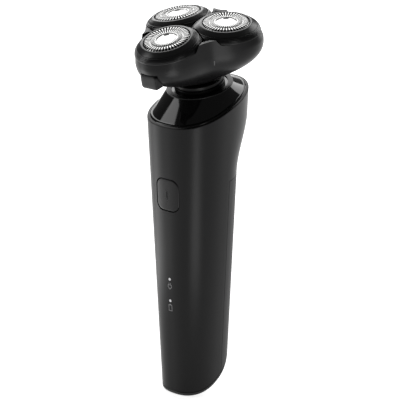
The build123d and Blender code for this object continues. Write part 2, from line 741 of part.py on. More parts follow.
with BuildPart() as top_plate:
    add(plate_cone(PLATE_SKIRT, 0, PLATE_LIP + SEAT))
    add(plate_cone(2 * PLATE_SKIRT, PLATE_THICKNESS, PLATE_LIP + PLATE_THICKNESS), mode=Mode.SUBTRACT)
    with BuildSketch(HEAD.offset(-PLATE_THICKNESS - OVERCUT)):
        Circle(NECK_SPIGOT_R + RUNNING)
    extrude(amount=PLATE_THICKNESS + 2 * OVERCUT, mode=Mode.SUBTRACT)
finish(top_plate, "top_plate")

with BuildPart() as collar_ring:
    with BuildSketch(HEAD):
        Circle(COLLAR_R)
        Circle(COLLAR_BORE_R, mode=Mode.SUBTRACT)
    extrude(amount=COLLAR_HEIGHT)
    chamfer(collar_ring.faces().sort_by(Axis.Z)[-1].edges(), length=COLLAR_HEIGHT / 2)
finish(collar_ring, "collar_ring")

with BuildPart() as neck:
    with BuildSketch(HEAD.offset(-NECK_SPIGOT_DEPTH)):
        Circle(NECK_SPIGOT_R)
    extrude(amount=NECK_SPIGOT_DEPTH)
    for low, high, radius in NECK_RINGS:
        with BuildSketch(HEAD.offset(low)):
            Circle(radius)
        extrude(amount=high - low)
    with BuildSketch(HEAD):
        Circle(POST_R)
    extrude(amount=POST_TOP)
    with BuildSketch(HEAD.offset(NECK_RINGS[-1][1] - POST_FLOOR)):
        Circle(POST_BORE_R)
    extrude(amount=BIG, mode=Mode.SUBTRACT)
    with BuildSketch(HEAD.offset(-NECK_SPIGOT_DEPTH)):
        Circle(SPINDLE_R + SHAFT_SEAL_WALL)
    extrude(amount=BIG, mode=Mode.SUBTRACT)
    add(pin_pair(PITCH_PLANE, 0, BIG, GIMBAL_PIN_R + RUNNING), mode=Mode.SUBTRACT)
finish(neck, "neck")

with BuildPart() as shaft_seal:
    with BuildSketch(HEAD.offset(-NECK_SPIGOT_DEPTH)):
        Circle(SPINDLE_R + SHAFT_SEAL_WALL - RUNNING / 5)
        Circle(SPINDLE_R + RUNNING, mode=Mode.SUBTRACT)
    extrude(amount=SHAFT_SEAL_LENGTH)
finish(shaft_seal, "shaft_seal")

# ---------------------------------------------------------------- spinning shaft
def ball(plane, radius):
    with BuildPart() as whole:
        with BuildSketch(upright(plane)):
            Circle(radius)
            with Locations((-radius, 0)):
                Rectangle(2 * radius, 2 * radius, mode=Mode.SUBTRACT)
        revolve(axis=Axis(plane.origin, plane.z_dir))
    return whole.part


def ball_hexagon(plane, half_flat):
    """Six-sided drive tip, rounded by a ball that just takes off its corners, with a small flat on its end."""
    radius = TIP_BALL * half_flat
    with BuildPart() as tip:
        with BuildSketch(plane.offset(-radius)):
            RegularPolygon(half_flat, 6, major_radius=False)
        extrude(amount=(1 + TIP_END) * radius)
        add(ball(plane, radius), mode=Mode.INTERSECT)
    return tip.part


with BuildPart() as motor_shaft:
    with BuildSketch(HEAD.offset(DECK_S - MOTOR_LENGTH + MOTOR_CAP_FLOOR + RUNNING)):
        Circle(SHAFT_R)
    extrude(amount=MOTOR_LENGTH - MOTOR_CAP_FLOOR + SPINDLE_BORE_DEPTH - SPINDLE_LIFT)
finish(motor_shaft, "motor_shaft")

with BuildPart() as rotor:
    with BuildSketch(HEAD.offset(DECK_S - MOTOR_LENGTH + MOTOR_CAP_LENGTH + MOTOR_END_ROOM)):
        Circle(ROTOR_R)
        Circle(SHAFT_R + RUNNING / 5, mode=Mode.SUBTRACT)
        with PolarLocations(ROTOR_R, 3, start_angle=90):
            Rectangle(*ROTOR_SLOT, mode=Mode.SUBTRACT)
    extrude(amount=MAGNET_LENGTH)
finish(rotor, "rotor")

SPINDLE_FOOT = DECK_S + SPINDLE_LIFT
with BuildPart() as drive_spindle:
    with BuildSketch(HEAD.offset(SPINDLE_FOOT)):
        Circle(SPINDLE_R)
    extrude(amount=SPINDLE_WAIST_S - SPINDLE_FOOT)
    with BuildSketch(HEAD.offset(SPINDLE_FOOT)):
        Circle(SPINDLE_WAIST_R)
    extrude(amount=PIVOT_S - SPINDLE_FOOT)
    add(ball_hexagon(PIVOT, SPINDLE_FLAT))
    with BuildSketch(HEAD.offset(SPINDLE_FOOT)):
        Circle(SHAFT_R + RUNNING / 5)
    extrude(amount=SPINDLE_BORE_DEPTH, mode=Mode.SUBTRACT)
finish(drive_spindle, "drive_spindle")

# ---------------------------------------------------------------- floating joint
with BuildPart() as gimbal_ring:
    with BuildSketch(PIVOT.offset(-GIMBAL_HALF_HEIGHT)):
        Circle(GIMBAL_OUTER_R)
        Circle(GIMBAL_INNER_R, mode=Mode.SUBTRACT)
    extrude(amount=2 * GIMBAL_HALF_HEIGHT)
    add(pin_pair(PITCH_PLANE, PIN_HOLE_START, BIG, GIMBAL_PIN_R + RUNNING / 5), mode=Mode.SUBTRACT)
    add(pin_pair(ROLL_PLANE, PIN_HOLE_START, BIG, GIMBAL_PIN_R + RUNNING), mode=Mode.SUBTRACT)
finish(gimbal_ring, "gimbal_ring")

with BuildPart() as pitch_pins:
    inner, outer = POST_BORE_R + PIN_END_ROOM, GIMBAL_OUTER_R - PIN_END_ROOM
    add(pin_pair(PITCH_PLANE, inner, outer, GIMBAL_PIN_R))
finish(pitch_pins, "pitch_pins")

with BuildPart() as roll_pins:
    add(pin_pair(ROLL_PLANE, GIMBAL_INNER_R + PIN_END_ROOM, CARRIER_OUTER_R - PIN_END_ROOM, GIMBAL_PIN_R))
finish(roll_pins, "roll_pins")


# ---------------------------------------------------------------- head volumes
def head_outline(s, shift, inset):
    """Lobed outline of the head at s; shift lowers the surface and inset moves it in."""
    t = min(max((s - shift - HEAD_BOTTOM) / (HEAD_FULL - HEAD_BOTTOM), 0.0), 1.0)
    fullness = 1 - (1 - t) ** WAIST_FULLNESS
    lobe = HEAD_NECK_R + (LOBE_R - HEAD_NECK_R) * (1 - (1 - t) ** LOBE_FULLNESS)
    waist = HEAD_NECK_R + (WAIST_R - HEAD_NECK_R) * fullness
    mean = (lobe + waist) / 2 - LOBE_ROUNDING * fullness
    swing = (lobe - waist) / 2
    points = []
    for angle in turn_angles():
        turned = angle + pi / 2
        radius = mean + swing * cos(3 * turned) + LOBE_ROUNDING * fullness * cos(6 * turned) - inset
        points.append((radius * cos(angle), radius * sin(angle)))
    return points


def head_volume(levels, shift, inset):
    """The head's volume through the given levels, and straight up from the last one."""
    with BuildPart() as volume:
        for s in levels:
            with BuildSketch(HEAD.offset(s)):
                with BuildLine():
                    Spline(head_outline(s, shift, inset), periodic=True)
                make_face()
        loft()
        with BuildSketch(HEAD.offset(levels[-1])):
            with BuildLine():
                Spline(head_outline(levels[-1], shift, inset), periodic=True)
            make_face()
        extrude(amount=HEAD_TOP - levels[-1])
    return volume.part


HEAD_LEVELS = (HEAD_BOTTOM, 6.5, 8.5, 11, 14, 17, HEAD_FULL)
INNER_LEVELS = (HEAD_BOTTOM + SHELL_FLOOR, 8, 10, 13, 16, 19, HEAD_FULL + SHELL_FLOOR)


def head_inside(inset, low, high):
    """The space inside the head shell between two levels, moved in by a further inset."""
    with BuildPart() as inside:
        add(head_volume(INNER_LEVELS, SHELL_FLOOR, SHELL_SIDE + inset))
        add(above_plane(HEAD.offset(high)), mode=Mode.SUBTRACT)
        add(above_plane(HEAD.offset(low)), mode=Mode.INTERSECT)
    return inside.part


def tab_window(gap, room):
    """Block that marks the release tab's window in the front of the head; room lies behind the tab."""
    with BuildPart() as window:
        with BuildSketch(HEAD.offset(TAB_LOW - gap)):
            with Locations((0, TAB_INNER_Y + room - BIG / 2)):
                Rectangle(2 * (TAB_HALF_WIDTH + gap), BIG)
        extrude(amount=TAB_HIGH - TAB_LOW + 2 * gap)
    return window.part


def turned(plane, points):
    """Solid of revolution about the plane's normal, from a half section."""
    with BuildPart() as solid:
        with BuildSketch(upright(plane)):
            with BuildLine():
                Polyline(points, close=True)
            make_face()
        revolve(axis=Axis(plane.origin, plane.z_dir))
    return solid.part


def flared_bore():
    """Half section of the space that the shell leaves round one cutter frame."""
    foot = FRAME_FOOT_R + 2 * SEAM
    return [(0, 0), (foot, 0), (foot + BORE_FLARE * BORE_REACH, BORE_REACH), (0, BORE_REACH)]


# ---------------------------------------------------------------- head pieces
with BuildPart() as crest_cut:
    with BuildSketch(upright(HEAD)):
        with BuildLine():
            Polyline(
                (0, CREST_INNER[1]), CREST_INNER, (WAIST_R - CREST_EDGE, HEAD_TOP), (BIG, HEAD_TOP),
                (BIG, BIG), (0, BIG), close=True,
            )
        make_face()
    revolve(axis=HEAD_AXIS)

with BuildPart() as head_shell:
    add(head_volume(HEAD_LEVELS, 0, 0))
    add(head_inside(0, HEAD_BOTTOM + SHELL_FLOOR, HEAD_FULL + SHELL_FLOOR), mode=Mode.SUBTRACT)
    with BuildSketch(HEAD.offset(HEAD_BOTTOM - OVERCUT)):
        Circle(HEAD_HOLE_R)
    extrude(amount=SHELL_FLOOR + 2 * OVERCUT, mode=Mode.SUBTRACT)
    with BuildSketch(HEAD.offset(HEAD_BOTTOM + SHELL_FLOOR / 2)):
        Circle(CARRIER_OUTER_R)
        Circle(CARRIER_INNER_R, mode=Mode.SUBTRACT)
    extrude(amount=CARRIER_TOP - HEAD_BOTTOM - SHELL_FLOOR / 2)
    pin_hole_end = CARRIER_OUTER_R - PIN_END_ROOM / 2
    add(pin_pair(ROLL_PLANE, PIN_HOLE_START, pin_hole_end, GIMBAL_PIN_R + RUNNING / 5), mode=Mode.SUBTRACT)
    add(tab_window(TAB_GAP, TAB_TRAVEL + TAB_GAP), mode=Mode.SUBTRACT)
    for angle in CUTTER_ANGLES:
        add(turned(cutter_plane(angle).offset(-FRAME_FOOT_W - SEAM), flared_bore()), mode=Mode.SUBTRACT)
        with BuildSketch(cutter_plane(angle).offset(-COVER_BOTTOM_W - RETAINER_THICKNESS - SEAM)):
            Circle(COVER_RING_R + SEAM)
        extrude(amount=BIG / 2, mode=Mode.SUBTRACT)
    add(crest_cut.part, mode=Mode.SUBTRACT)
finish(head_shell, "head_shell")

with BuildPart() as release_tab:
    with BuildSketch(upright(HEAD).offset(-TAB_INNER_Y)):
        with Locations((0, (TAB_LOW + TAB_HIGH) / 2)):
            RectangleRounded(2 * TAB_HALF_WIDTH, TAB_HIGH - TAB_LOW, TAB_CORNER_R)
    extrude(amount=TAB_INNER_Y - TAB_OUTER_Y)
    chamfer(release_tab.faces().sort_by(Axis(HEAD.origin, HEAD.y_dir))[0].edges(), length=TAB_EDGE)
finish(release_tab, "release_tab")

with BuildPart() as gear_base:
    add(head_inside(SEAT, GEAR_BASE_S, GEAR_BASE_S + GEAR_BASE_THICKNESS))
    add(tab_window(2 * TAB_GAP, TAB_TRAVEL + 2 * TAB_GAP), mode=Mode.SUBTRACT)
    with BuildSketch(HEAD.offset(GEAR_BASE_S - OVERCUT)):
        Circle(CENTRE_HUB_R + RUNNING)
    extrude(amount=GEAR_BASE_THICKNESS + 2 * OVERCUT, mode=Mode.SUBTRACT)
    for angle in CUTTER_ANGLES:
        with BuildSketch(pin_plane(angle, GEAR_BASE_S)):
            Circle(AXLE_R)
        extrude(amount=GEAR_S + GEAR_FACE - AXLE_END_CLEARANCE - GEAR_BASE_S)
        with BuildSketch(pin_plane(angle, GEAR_BASE_S)):
            Circle(AXLE_FOOT_R)
        extrude(amount=GEAR_S - AXLE_FOOT_CLEARANCE - GEAR_BASE_S)
finish(gear_base, "gear_base")


def gear_outline(teeth, phase):
    """Closed list of points round a spur gear, with involute flanks."""
    pitch_r = MODULE * teeth / 2
    base_r = pitch_r * cos(radians(PRESSURE_ANGLE))
    half_pitch_angle = pi / (2 * teeth) - GEAR_BACKLASH / (4 * pitch_r)
    involute_at_pitch = tan(radians(PRESSURE_ANGLE)) - radians(PRESSURE_ANGLE)
    flank = []
    tip_r = pitch_r + ADDENDUM * MODULE
    for radius in (pitch_r - DEDENDUM * MODULE, base_r, pitch_r, (pitch_r + tip_r) / 2, tip_r):
        pressure = acos(min(base_r / radius, 1.0))
        flank.append((radius, half_pitch_angle + involute_at_pitch - (tan(pressure) - pressure)))
    points = []
    for tooth in range(teeth):
        middle = radians(phase) + 2 * pi * tooth / teeth
        for radius, half_angle in flank:
            points.append((radius * cos(middle - half_angle), radius * sin(middle - half_angle)))
        for radius, half_angle in reversed(flank):
            points.append((radius * cos(middle + half_angle), radius * sin(middle + half_angle)))
    return points


with BuildPart() as centre_gear:
    with BuildSketch(HEAD.offset(GEAR_S)):
        with BuildLine():
            Polyline(gear_outline(CENTRE_TEETH, 0), close=True)
        make_face()
    extrude(amount=GEAR_FACE)
    with BuildSketch(HEAD.offset(CENTRE_HUB_BOTTOM)):
        Circle(CENTRE_HUB_R)
    extrude(amount=GEAR_S - CENTRE_HUB_BOTTOM)
    with BuildSketch(HEAD.offset(CENTRE_HUB_BOTTOM)):
        RegularPolygon(SPINDLE_FLAT + DRIVE_PLAY, 6, major_radius=False)
    extrude(amount=CENTRE_SOCKET_TOP - CENTRE_HUB_BOTTOM, mode=Mode.SUBTRACT)
finish(centre_gear, "centre_gear")


def drive_phase(angle):
    """Turn that puts a drive gear's space against the centre gear's tooth."""
    return angle + 180 - 180 / DRIVE_TEETH + CENTRE_TEETH * angle / DRIVE_TEETH


for name, angle in zip(CUTTER_NAMES, CUTTER_ANGLES):
    with BuildPart() as drive_gear:
        with BuildSketch(pin_plane(angle, GEAR_S)):
            with BuildLine():
                Polyline(gear_outline(DRIVE_TEETH, drive_phase(angle)), close=True)
            make_face()
        extrude(amount=GEAR_FACE)
        with BuildSketch(pin_plane(angle, GEAR_S)):
            Circle(DRIVE_HUB_R)
        extrude(amount=DRIVE_HUB_TOP - GEAR_S)
        with BuildSketch(pin_plane(angle, GEAR_S)):
            Circle(AXLE_R + RUNNING)
        extrude(amount=GEAR_FACE, mode=Mode.SUBTRACT)
        with BuildSketch(pin_plane(angle, GEAR_S + GEAR_FACE + AXLE_END_CLEARANCE)):
            Circle(PIN_R + RUNNING / 5)
        extrude(amount=BIG, mode=Mode.SUBTRACT)
    finish(drive_gear, f"drive_gear_{name}")

    with BuildPart() as drive_pin:
        with BuildSketch(pin_plane(angle, GEAR_S + GEAR_FACE + AXLE_END_CLEARANCE)):
            Circle(PIN_R)
        extrude(amount=TIP_S - GEAR_S - GEAR_FACE - AXLE_END_CLEARANCE)
        with BuildSketch(pin_plane(angle, PIN_COLLAR_S)):
            Circle(PIN_COLLAR_R)
        extrude(amount=PIN_COLLAR_THICKNESS)
        add(ball_hexagon(pin_plane(angle, TIP_S), TIP_FLAT))
    finish(drive_pin, f"drive_pin_{name}")

    with BuildPart() as pin_spring:
        height = PIN_COLLAR_S - DRIVE_HUB_TOP - 2 * SPRING_END
        start = pin_plane(angle, DRIVE_HUB_TOP + SPRING_END)
        with BuildLine() as coil:
            Helix(height / SPRING_TURNS, height, SPRING_R, center=start.origin, direction=start.z_dir)
        with BuildSketch(Plane(origin=coil.line @ 0, z_dir=coil.line % 0)):
            Circle(SPRING_WIRE_R)
        sweep(path=coil.line, is_frenet=True)
    finish(pin_spring, f"pin_spring_{name}")

with BuildPart() as hair_tray:
    add(head_inside(SEAT, TRAY_S, TRAY_S + TRAY_THICKNESS))
    add(tab_window(2 * TAB_GAP, TAB_TRAVEL + 2 * TAB_GAP), mode=Mode.SUBTRACT)
    for angle in CUTTER_ANGLES:
        with BuildSketch(pin_plane(angle, TRAY_S)):
            Circle(DRIVE_HUB_R + TRAY_BOSS_WALL)
        extrude(amount=DRIVE_HUB_TOP - TRAY_S)
        with BuildSketch(pin_plane(angle, TRAY_S - OVERCUT)):
            Circle(DRIVE_HUB_R + 3 * RUNNING)
        extrude(amount=BIG, mode=Mode.SUBTRACT)
    with BuildSketch(HEAD.offset(TRAY_S - OVERCUT)):
        with PolarLocations(TRAY_SCREW_CIRCLE_R, 3, start_angle=90):
            Circle(TRAY_SCREW_R + RUNNING)
    extrude(amount=BIG, mode=Mode.SUBTRACT)
finish(hair_tray, "hair_tray")

with BuildPart() as tray_screws:
    with BuildSketch(HEAD.offset(GEAR_BASE_S + GEAR_BASE_THICKNESS)):
        with PolarLocations(TRAY_SCREW_CIRCLE_R, 3, start_angle=90):
            Circle(TRAY_SCREW_R)
    extrude(amount=TRAY_S + TRAY_THICKNESS - GEAR_BASE_S - GEAR_BASE_THICKNESS)
    with BuildSketch(HEAD.offset(TRAY_S + TRAY_THICKNESS)):
        with PolarLocations(TRAY_SCREW_CIRCLE_R, 3, start_angle=90):
            Circle(SCREW_HEAD * TRAY_SCREW_R)
    extrude(amount=TRAY_SCREW_HEAD)
finish(tray_screws, "tray_screws")

# ---------------------------------------------------------------- cover with the cutters
with BuildPart() as cover_frame:
    for angle in CUTTER_ANGLES:
        with BuildSketch(cutter_plane(angle).offset(-COVER_BOTTOM_W)):
            Circle(COVER_RING_R)
        extrude(amount=COVER_BOTTOM_W - FRAME_FOOT_W)
    with BuildSketch(HEAD.offset(HUB_LOW)):
        Circle(HUB_R)
    extrude(amount=HUB_HIGH - HUB_LOW)
    for angle in CUTTER_ANGLES:
        with BuildSketch(cutter_plane(angle).offset(-COVER_BOTTOM_W - 2 * OVERCUT)):
            Circle(GUARD_FLANGE_R + SEAT)
        extrude(amount=BIG / 2, mode=Mode.SUBTRACT)
finish(cover_frame, "cover_frame")

with BuildPart() as retaining_rings:
    for angle in CUTTER_ANGLES:
        with BuildSketch(cutter_plane(angle).offset(-COVER_BOTTOM_W - RETAINER_THICKNESS)):
            Circle(COVER_RING_R - RETAINER_EDGE)
        extrude(amount=RETAINER_THICKNESS)
    for angle in CUTTER_ANGLES:
        with BuildSketch(cutter_plane(angle).offset(-COVER_BOTTOM_W)):
            Circle(COVER_RING_R)
        extrude(amount=BIG / 2, mode=Mode.SUBTRACT)
    for angle in CUTTER_ANGLES:
        with BuildSketch(cutter_plane(angle).offset(-COVER_BOTTOM_W - 2 * OVERCUT)):
            Circle(RETAINER_HOLE_R)
        extrude(amount=BIG / 2, mode=Mode.SUBTRACT)
finish(retaining_rings, "retaining_rings")


def frame_profile():
    """Half section of one cutter frame in its own axes: a slightly rounded cone."""
    bore = GUARD_R + FRAME_BORE_CLEARANCE
    points = [(bore, -FRAME_FOOT_W), (bore, -FRAME_TOP_W)]
    for share in (0, 0.25, 0.5, 0.75, 1):
        radius = FRAME_TOP_R + (FRAME_FOOT_R - FRAME_TOP_R) * share + FRAME_BULGE * sin(pi * share)
        points.append((radius, -FRAME_TOP_W - (FRAME_FOOT_W - FRAME_TOP_W) * share))
    return points


def guard_profile():
    """Half section of one guard: skirt, bevelled rim, ring groove and middle disc."""
    step_r = GUARD_DISC_R + GUARD_DISC_EDGE
    groove_inner, groove_outer = GUARD_GROOVE
    depth, skin = GUARD_GROOVE_DEPTH, GUARD_SKIN
    top = [
        (0, -GUARD_DISC_DROP), (GUARD_DISC_R, -GUARD_DISC_DROP), (step_r, 0), (groove_inner, 0),
        (groove_inner + depth, -depth), (groove_outer - depth, -depth), (groove_outer, 0), (GUARD_RIM_R, 0),
    ]
    skirt = [
        (GUARD_R, -GUARD_RIM_DROP), (GUARD_R, -GUARD_SKIRT + GUARD_FLANGE),
        (GUARD_FLANGE_R, -GUARD_SKIRT + GUARD_FLANGE), (GUARD_FLANGE_R, -GUARD_SKIRT),
        (GUARD_R - skin, -GUARD_SKIRT), (GUARD_R - skin, -GUARD_RIM_DROP - skin / 2),
    ]
    under = [
        (GUARD_RIM_R - SEAM, -skin), (groove_outer - depth / 3, -skin),
        (groove_outer - depth / 2, -depth - skin), (groove_inner + depth / 2, -depth - skin),
        (groove_inner - depth / 3, -skin), (step_r - depth / 3, -skin),
        (GUARD_DISC_R, -GUARD_DISC_DROP - skin), (0, -GUARD_DISC_DROP - skin),
    ]
    return top + skirt + under


for name, angle in zip(CUTTER_NAMES, CUTTER_ANGLES):
    plane = cutter_plane(angle)

    with BuildPart() as cutter_frame:
        add(turned(plane, frame_profile()))
        for side in (-150, 150):
            away = lobe_direction(angle + side)
            with BuildSketch(
                Plane(origin=HEAD.origin - away * FRAME_GAP, x_dir=HEAD.z_dir, z_dir=away)
            ):
                Rectangle(4 * BIG, 2 * BIG)
            extrude(amount=BIG, mode=Mode.SUBTRACT)
    finish(cutter_frame, f"cutter_frame_{name}")

    with BuildPart() as guard:
        add(turned(plane, guard_profile()))
        with BuildSketch(plane.offset(-GUARD_SLOT_DEPTH)):
            with PolarLocations(GUARD_SLOT_CIRCLE_R, GUARD_SLOTS):
                Rectangle(GUARD_SLOT_LENGTH, GUARD_SLOT_WIDTH)
        extrude(amount=GUARD_SLOT_DEPTH + OVERCUT, mode=Mode.SUBTRACT)
    finish(guard, f"guard_{name}")

    with BuildPart() as blade:
        with BuildSketch(plane.offset(-BLADE_DISC_W)):
            Circle(BLADE_DISC_R)
            with PolarLocations(BLADE_HOLE_CIRCLE_R, BLADE_HOLES):
                Circle(BLADE_HOLE_R, mode=Mode.SUBTRACT)
        extrude(amount=BLADE_DISC_THICKNESS)
        with BuildSketch(plane.offset(-BLADE_DISC_W + BLADE_DISC_THICKNESS / 2)):
            with PolarLocations(BLADE_CIRCLE_R, BLADE_COUNT):
                Rectangle(*BLADE_SIZE)
        extrude(amount=BLADE_DISC_W - BLADE_DISC_THICKNESS / 2 - GUARD_SKIN - BLADE_CLEARANCE)
        with BuildSketch(plane.offset(-BLADE_HUB_BOTTOM_W)):
            Circle(BLADE_HUB_R)
        extrude(amount=BLADE_HUB_BOTTOM_W - BLADE_DISC_W + BLADE_DISC_THICKNESS)
        with BuildSketch(plane.offset(-BLADE_HUB_BOTTOM_W)):
            RegularPolygon(TIP_FLAT + DRIVE_PLAY, 6, major_radius=False)
        extrude(amount=BLADE_HUB_BOTTOM_W - SOCKET_TOP_W, mode=Mode.SUBTRACT)
    finish(blade, f"blade_{name}")
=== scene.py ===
import json
from math import copysign, cos, pi, radians, sin, sqrt

import bpy
from mathutils import Matrix, Vector


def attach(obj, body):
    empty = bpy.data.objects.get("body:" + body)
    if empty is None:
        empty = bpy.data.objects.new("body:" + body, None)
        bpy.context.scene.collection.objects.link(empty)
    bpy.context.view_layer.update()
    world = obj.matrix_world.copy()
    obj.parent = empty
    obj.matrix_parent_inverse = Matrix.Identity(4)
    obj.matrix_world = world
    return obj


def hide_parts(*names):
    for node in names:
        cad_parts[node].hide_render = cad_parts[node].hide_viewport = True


# Looks of a three-head rotary shaver around its CAD frame.
# Lengths are worked out in millimetres, in the CAD's axes, and scaled to metres when a mesh is made.

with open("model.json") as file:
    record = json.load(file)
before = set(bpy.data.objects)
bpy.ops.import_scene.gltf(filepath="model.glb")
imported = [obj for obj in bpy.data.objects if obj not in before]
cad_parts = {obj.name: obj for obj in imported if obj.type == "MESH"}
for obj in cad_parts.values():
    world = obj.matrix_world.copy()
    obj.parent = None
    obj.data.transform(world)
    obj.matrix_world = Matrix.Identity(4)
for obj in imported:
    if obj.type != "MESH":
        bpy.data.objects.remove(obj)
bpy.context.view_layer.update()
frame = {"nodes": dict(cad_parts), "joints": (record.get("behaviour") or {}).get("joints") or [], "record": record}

MM = 0.001
JOINTS = {joint["name"]: joint for joint in frame["joints"]}

# ---------------------------------------------------------------- sizes, as in the CAD
COLLAR_Y = 2.6
BASE_HALF_WIDTH, TOP_HALF_WIDTH = 12.5, 18.7
BASE_FRONT, TOP_FRONT = 15.5, 20.3
BASE_REAR, TOP_REAR = 13.4, 17.5
TAPER_HEIGHT = 125.0
FRONT_SQUARENESS, REAR_SQUARENESS = 2.5, 2.2
REST_START, REST_FULL, REST_PROUD = 100.0, 124.0, 7.6
RIM_HEIGHT, RIM_SLOPE = 129.5, 0.31
BASE_ARC_R, BASE_ARC_Y = 35.0, -18.0
WALL = 2.2
SEAM = 0.2
GRIP_EDGE_Y, GRIP_THICKNESS, GRIP_TOP, GRIP_TOP_ARC_R = 2.0, 1.2, 103.0, 30.0
BASE_CAP = 1.8
BUTTON_Z, BUTTON_SIZE, BUTTON_CORNER_R = 93.0, (12.1, 14.2), 3.5
BUTTON_GAP = 0.25
BUTTON_THICKNESS = 1.7
LIGHT_HEIGHTS = (44.5, 54.5)
LIGHT_HOLE_R = 0.65
INLET_Y = -2.0
INLET_SLOT = (9.34, 3.66)
PLATE_INSET = 1.22
PLATE_SKIRT, PLATE_THICKNESS = 2.4, 1.8
PLATE_HOLE_R = 7.95
COLLAR_R, COLLAR_BORE_R, COLLAR_HEIGHT = 14.4, 12.2, 0.5
HEAD_BOTTOM, HEAD_FULL = 5.0, 20.0
HEAD_NECK_R, LOBE_R, WAIST_R, LOBE_ROUNDING = 10.5, 30.2, 19.7, -0.35
LOBE_FULLNESS, WAIST_FULLNESS = 2.6, 2.0
BORE_REACH = 12.0
SHELL_FLOOR, SHELL_SIDE = 1.4, 1.2
HEAD_HOLE_R = 9.75
CUTTERS = {"a": -90.0, "b": 30.0, "c": 150.0}
FRAME_GAP = 0.3
FRAME_TOP_W, FRAME_TOP_R = 0.3, 10.9
FRAME_BULGE = 0.9
GUARD_R = 10.0
COVER_BORE_R, COVER_DEPTH = 12.4, 8.5
TAB_HALF_WIDTH, TAB_LOW, TAB_HIGH, TAB_CORNER_R, TAB_EDGE = 4.4, 11.6, 17.8, 1.2, 0.7
TAB_INNER_Y, TAB_OUTER_Y = -23.4, -30.4
TAB_GAP, TAB_ROOM = 0.25, 1.05

# Sizes of the head that differ from the CAD. There the frames end at 6.0 down and 15.3 out, the bores
# flare by 0.45, the crests reach 27.6 and the lobes don't lean. Here the frames end higher, the shell
# rises to meet them, and the lean keeps its top inside the CAD's box.
FRAME_FOOT_W, FRAME_FOOT_R = 4.2, 14.7
BORE_FOOT_R = FRAME_FOOT_R + 2 * SEAM
BORE_FLARE = 0.25
HEAD_TOP = 26.9
LOBE_LEAN = 0.25

# fineness of the meshes
AROUND = 192


# ---------------------------------------------------------------- places, from the frame
def joint_place(name):
    """A joint's point and axis in the rest pose, in millimetres."""
    return Vector(JOINTS[name]["pos_m"]) / MM, Vector(JOINTS[name]["axis"]).normalized()


class Axes:
    """Origin and three directions; place() turns local millimetres into the row's."""

    def __init__(self, origin, z_dir, x_dir):
        self.o = Vector(origin)
        self.z = Vector(z_dir).normalized()
        x = Vector(x_dir)
        self.x = (x - self.z * x.dot(self.z)).normalized()
        self.y = self.z.cross(self.x)

    def place(self, x, y, z):
        return self.o + self.x * x + self.y * y + self.z * z

    def polar(self, radius, angle, z):
        return self.place(radius * cos(angle), radius * sin(angle), z)

    def local(self, point):
        d = Vector(point) - self.o
        return d.dot(self.x), d.dot(self.y), d.dot(self.z)

    def raised(self, z):
        return Axes(self.place(0, 0, z), self.z, self.x)


HEAD = Axes(*joint_place("motor_spin"), (1, 0, 0))
AXIS_Y = HEAD.o.y - COLLAR_Y
HANDLE = Axes((0, AXIS_Y, 0), (0, 0, 1), (1, 0, 0))


def lobe_direction(degrees_round):
    return HEAD.x * cos(radians(degrees_round)) + HEAD.y * sin(radians(degrees_round))


CUTTER_AXES = {
    name: Axes(*joint_place(f"blade_{name}_spin"), lobe_direction(angle + 90))
    for name, angle in CUTTERS.items()
}


# ---------------------------------------------------------------- mesh makers
def new_object(name, points, faces):
    """Mesh object from points in millimetres."""
    mesh = bpy.data.meshes.new(name)
    mesh.from_pydata([Vector(point) * MM for point in points], [], faces)
    mesh.validate()
    mesh.update()
    obj = bpy.data.objects.new(name, mesh)
    bpy.context.scene.collection.objects.link(obj)
    return obj


# a box's faces, for its lower four corners and then its upper four
BOX_FACES = ((3, 2, 1, 0), (4, 5, 6, 7), (0, 1, 5, 4), (1, 2, 6, 5), (2, 3, 7, 6), (3, 0, 4, 7))


def volume_of(points, faces):
    """Six times the signed volume inside a closed mesh."""
    total = 0.0
    for face in faces:
        a = points[face[0]]
        for k in range(1, len(face) - 1):
            total += a.dot(points[face[k]].cross(points[face[k + 1]]))
    return total


def rings(name, rows, closed=False):
    """Solid through rows of points: a tube closed on itself, or with a flat or pointed end at each end."""
    points = [Vector(point) for row in rows for point in row]
    starts = []
    total = 0
    for row in rows:
        starts.append(total)
        total += len(row)
    faces = []
    pairs = list(zip(range(len(rows)), range(1, len(rows))))
    if closed:
        pairs.append((len(rows) - 1, 0))
    for low, high in pairs:
        count = max(len(rows[low]), len(rows[high]))
        for k in range(count):
            n = (k + 1) % count
            quad = []
            for start, size, index in (
                (starts[low], len(rows[low]), k),
                (starts[low], len(rows[low]), n),
                (starts[high], len(rows[high]), n),
                (starts[high], len(rows[high]), k),
            ):
                vertex = start + (index if size > 1 else 0)
                if vertex not in quad:
                    quad.append(vertex)
            faces.append(quad)
    if not closed:
        for row, start in ((rows[0], starts[0]), (rows[-1], starts[-1])):
            if len(row) > 1:
                face = list(range(start, start + len(row)))
                faces.append(face[::-1] if start == 0 else face)
    if volume_of(points, faces) < 0:
        faces = [face[::-1] for face in faces]
    return new_object(name, points, faces)


def turned(name, axes, profile, count=AROUND, closed=True):
    """Solid of revolution of a profile of (radius, height) pairs."""
    rows = []
    for radius, height in profile:
        if radius == 0:
            rows.append([axes.place(0, 0, height)])
        else:
            rows.append([axes.polar(radius, 2 * pi * k / count, height) for k in range(count)])
    return rings(name, rows, closed)


def prism(name, outline, depth, place):
    """Prism over an outline of pairs; place(u, v, d) gives a point at depth d."""
    rows = [[place(u, v, d) for u, v in outline] for d in depth]
    return rings(name, rows)


def block(name, axes, low, high):
    """Box between two local corners."""
    outline = [(low[0], low[1]), (high[0], low[1]), (high[0], high[1]), (low[0], high[1])]
    return prism(name, outline, (low[2], high[2]), axes.place)


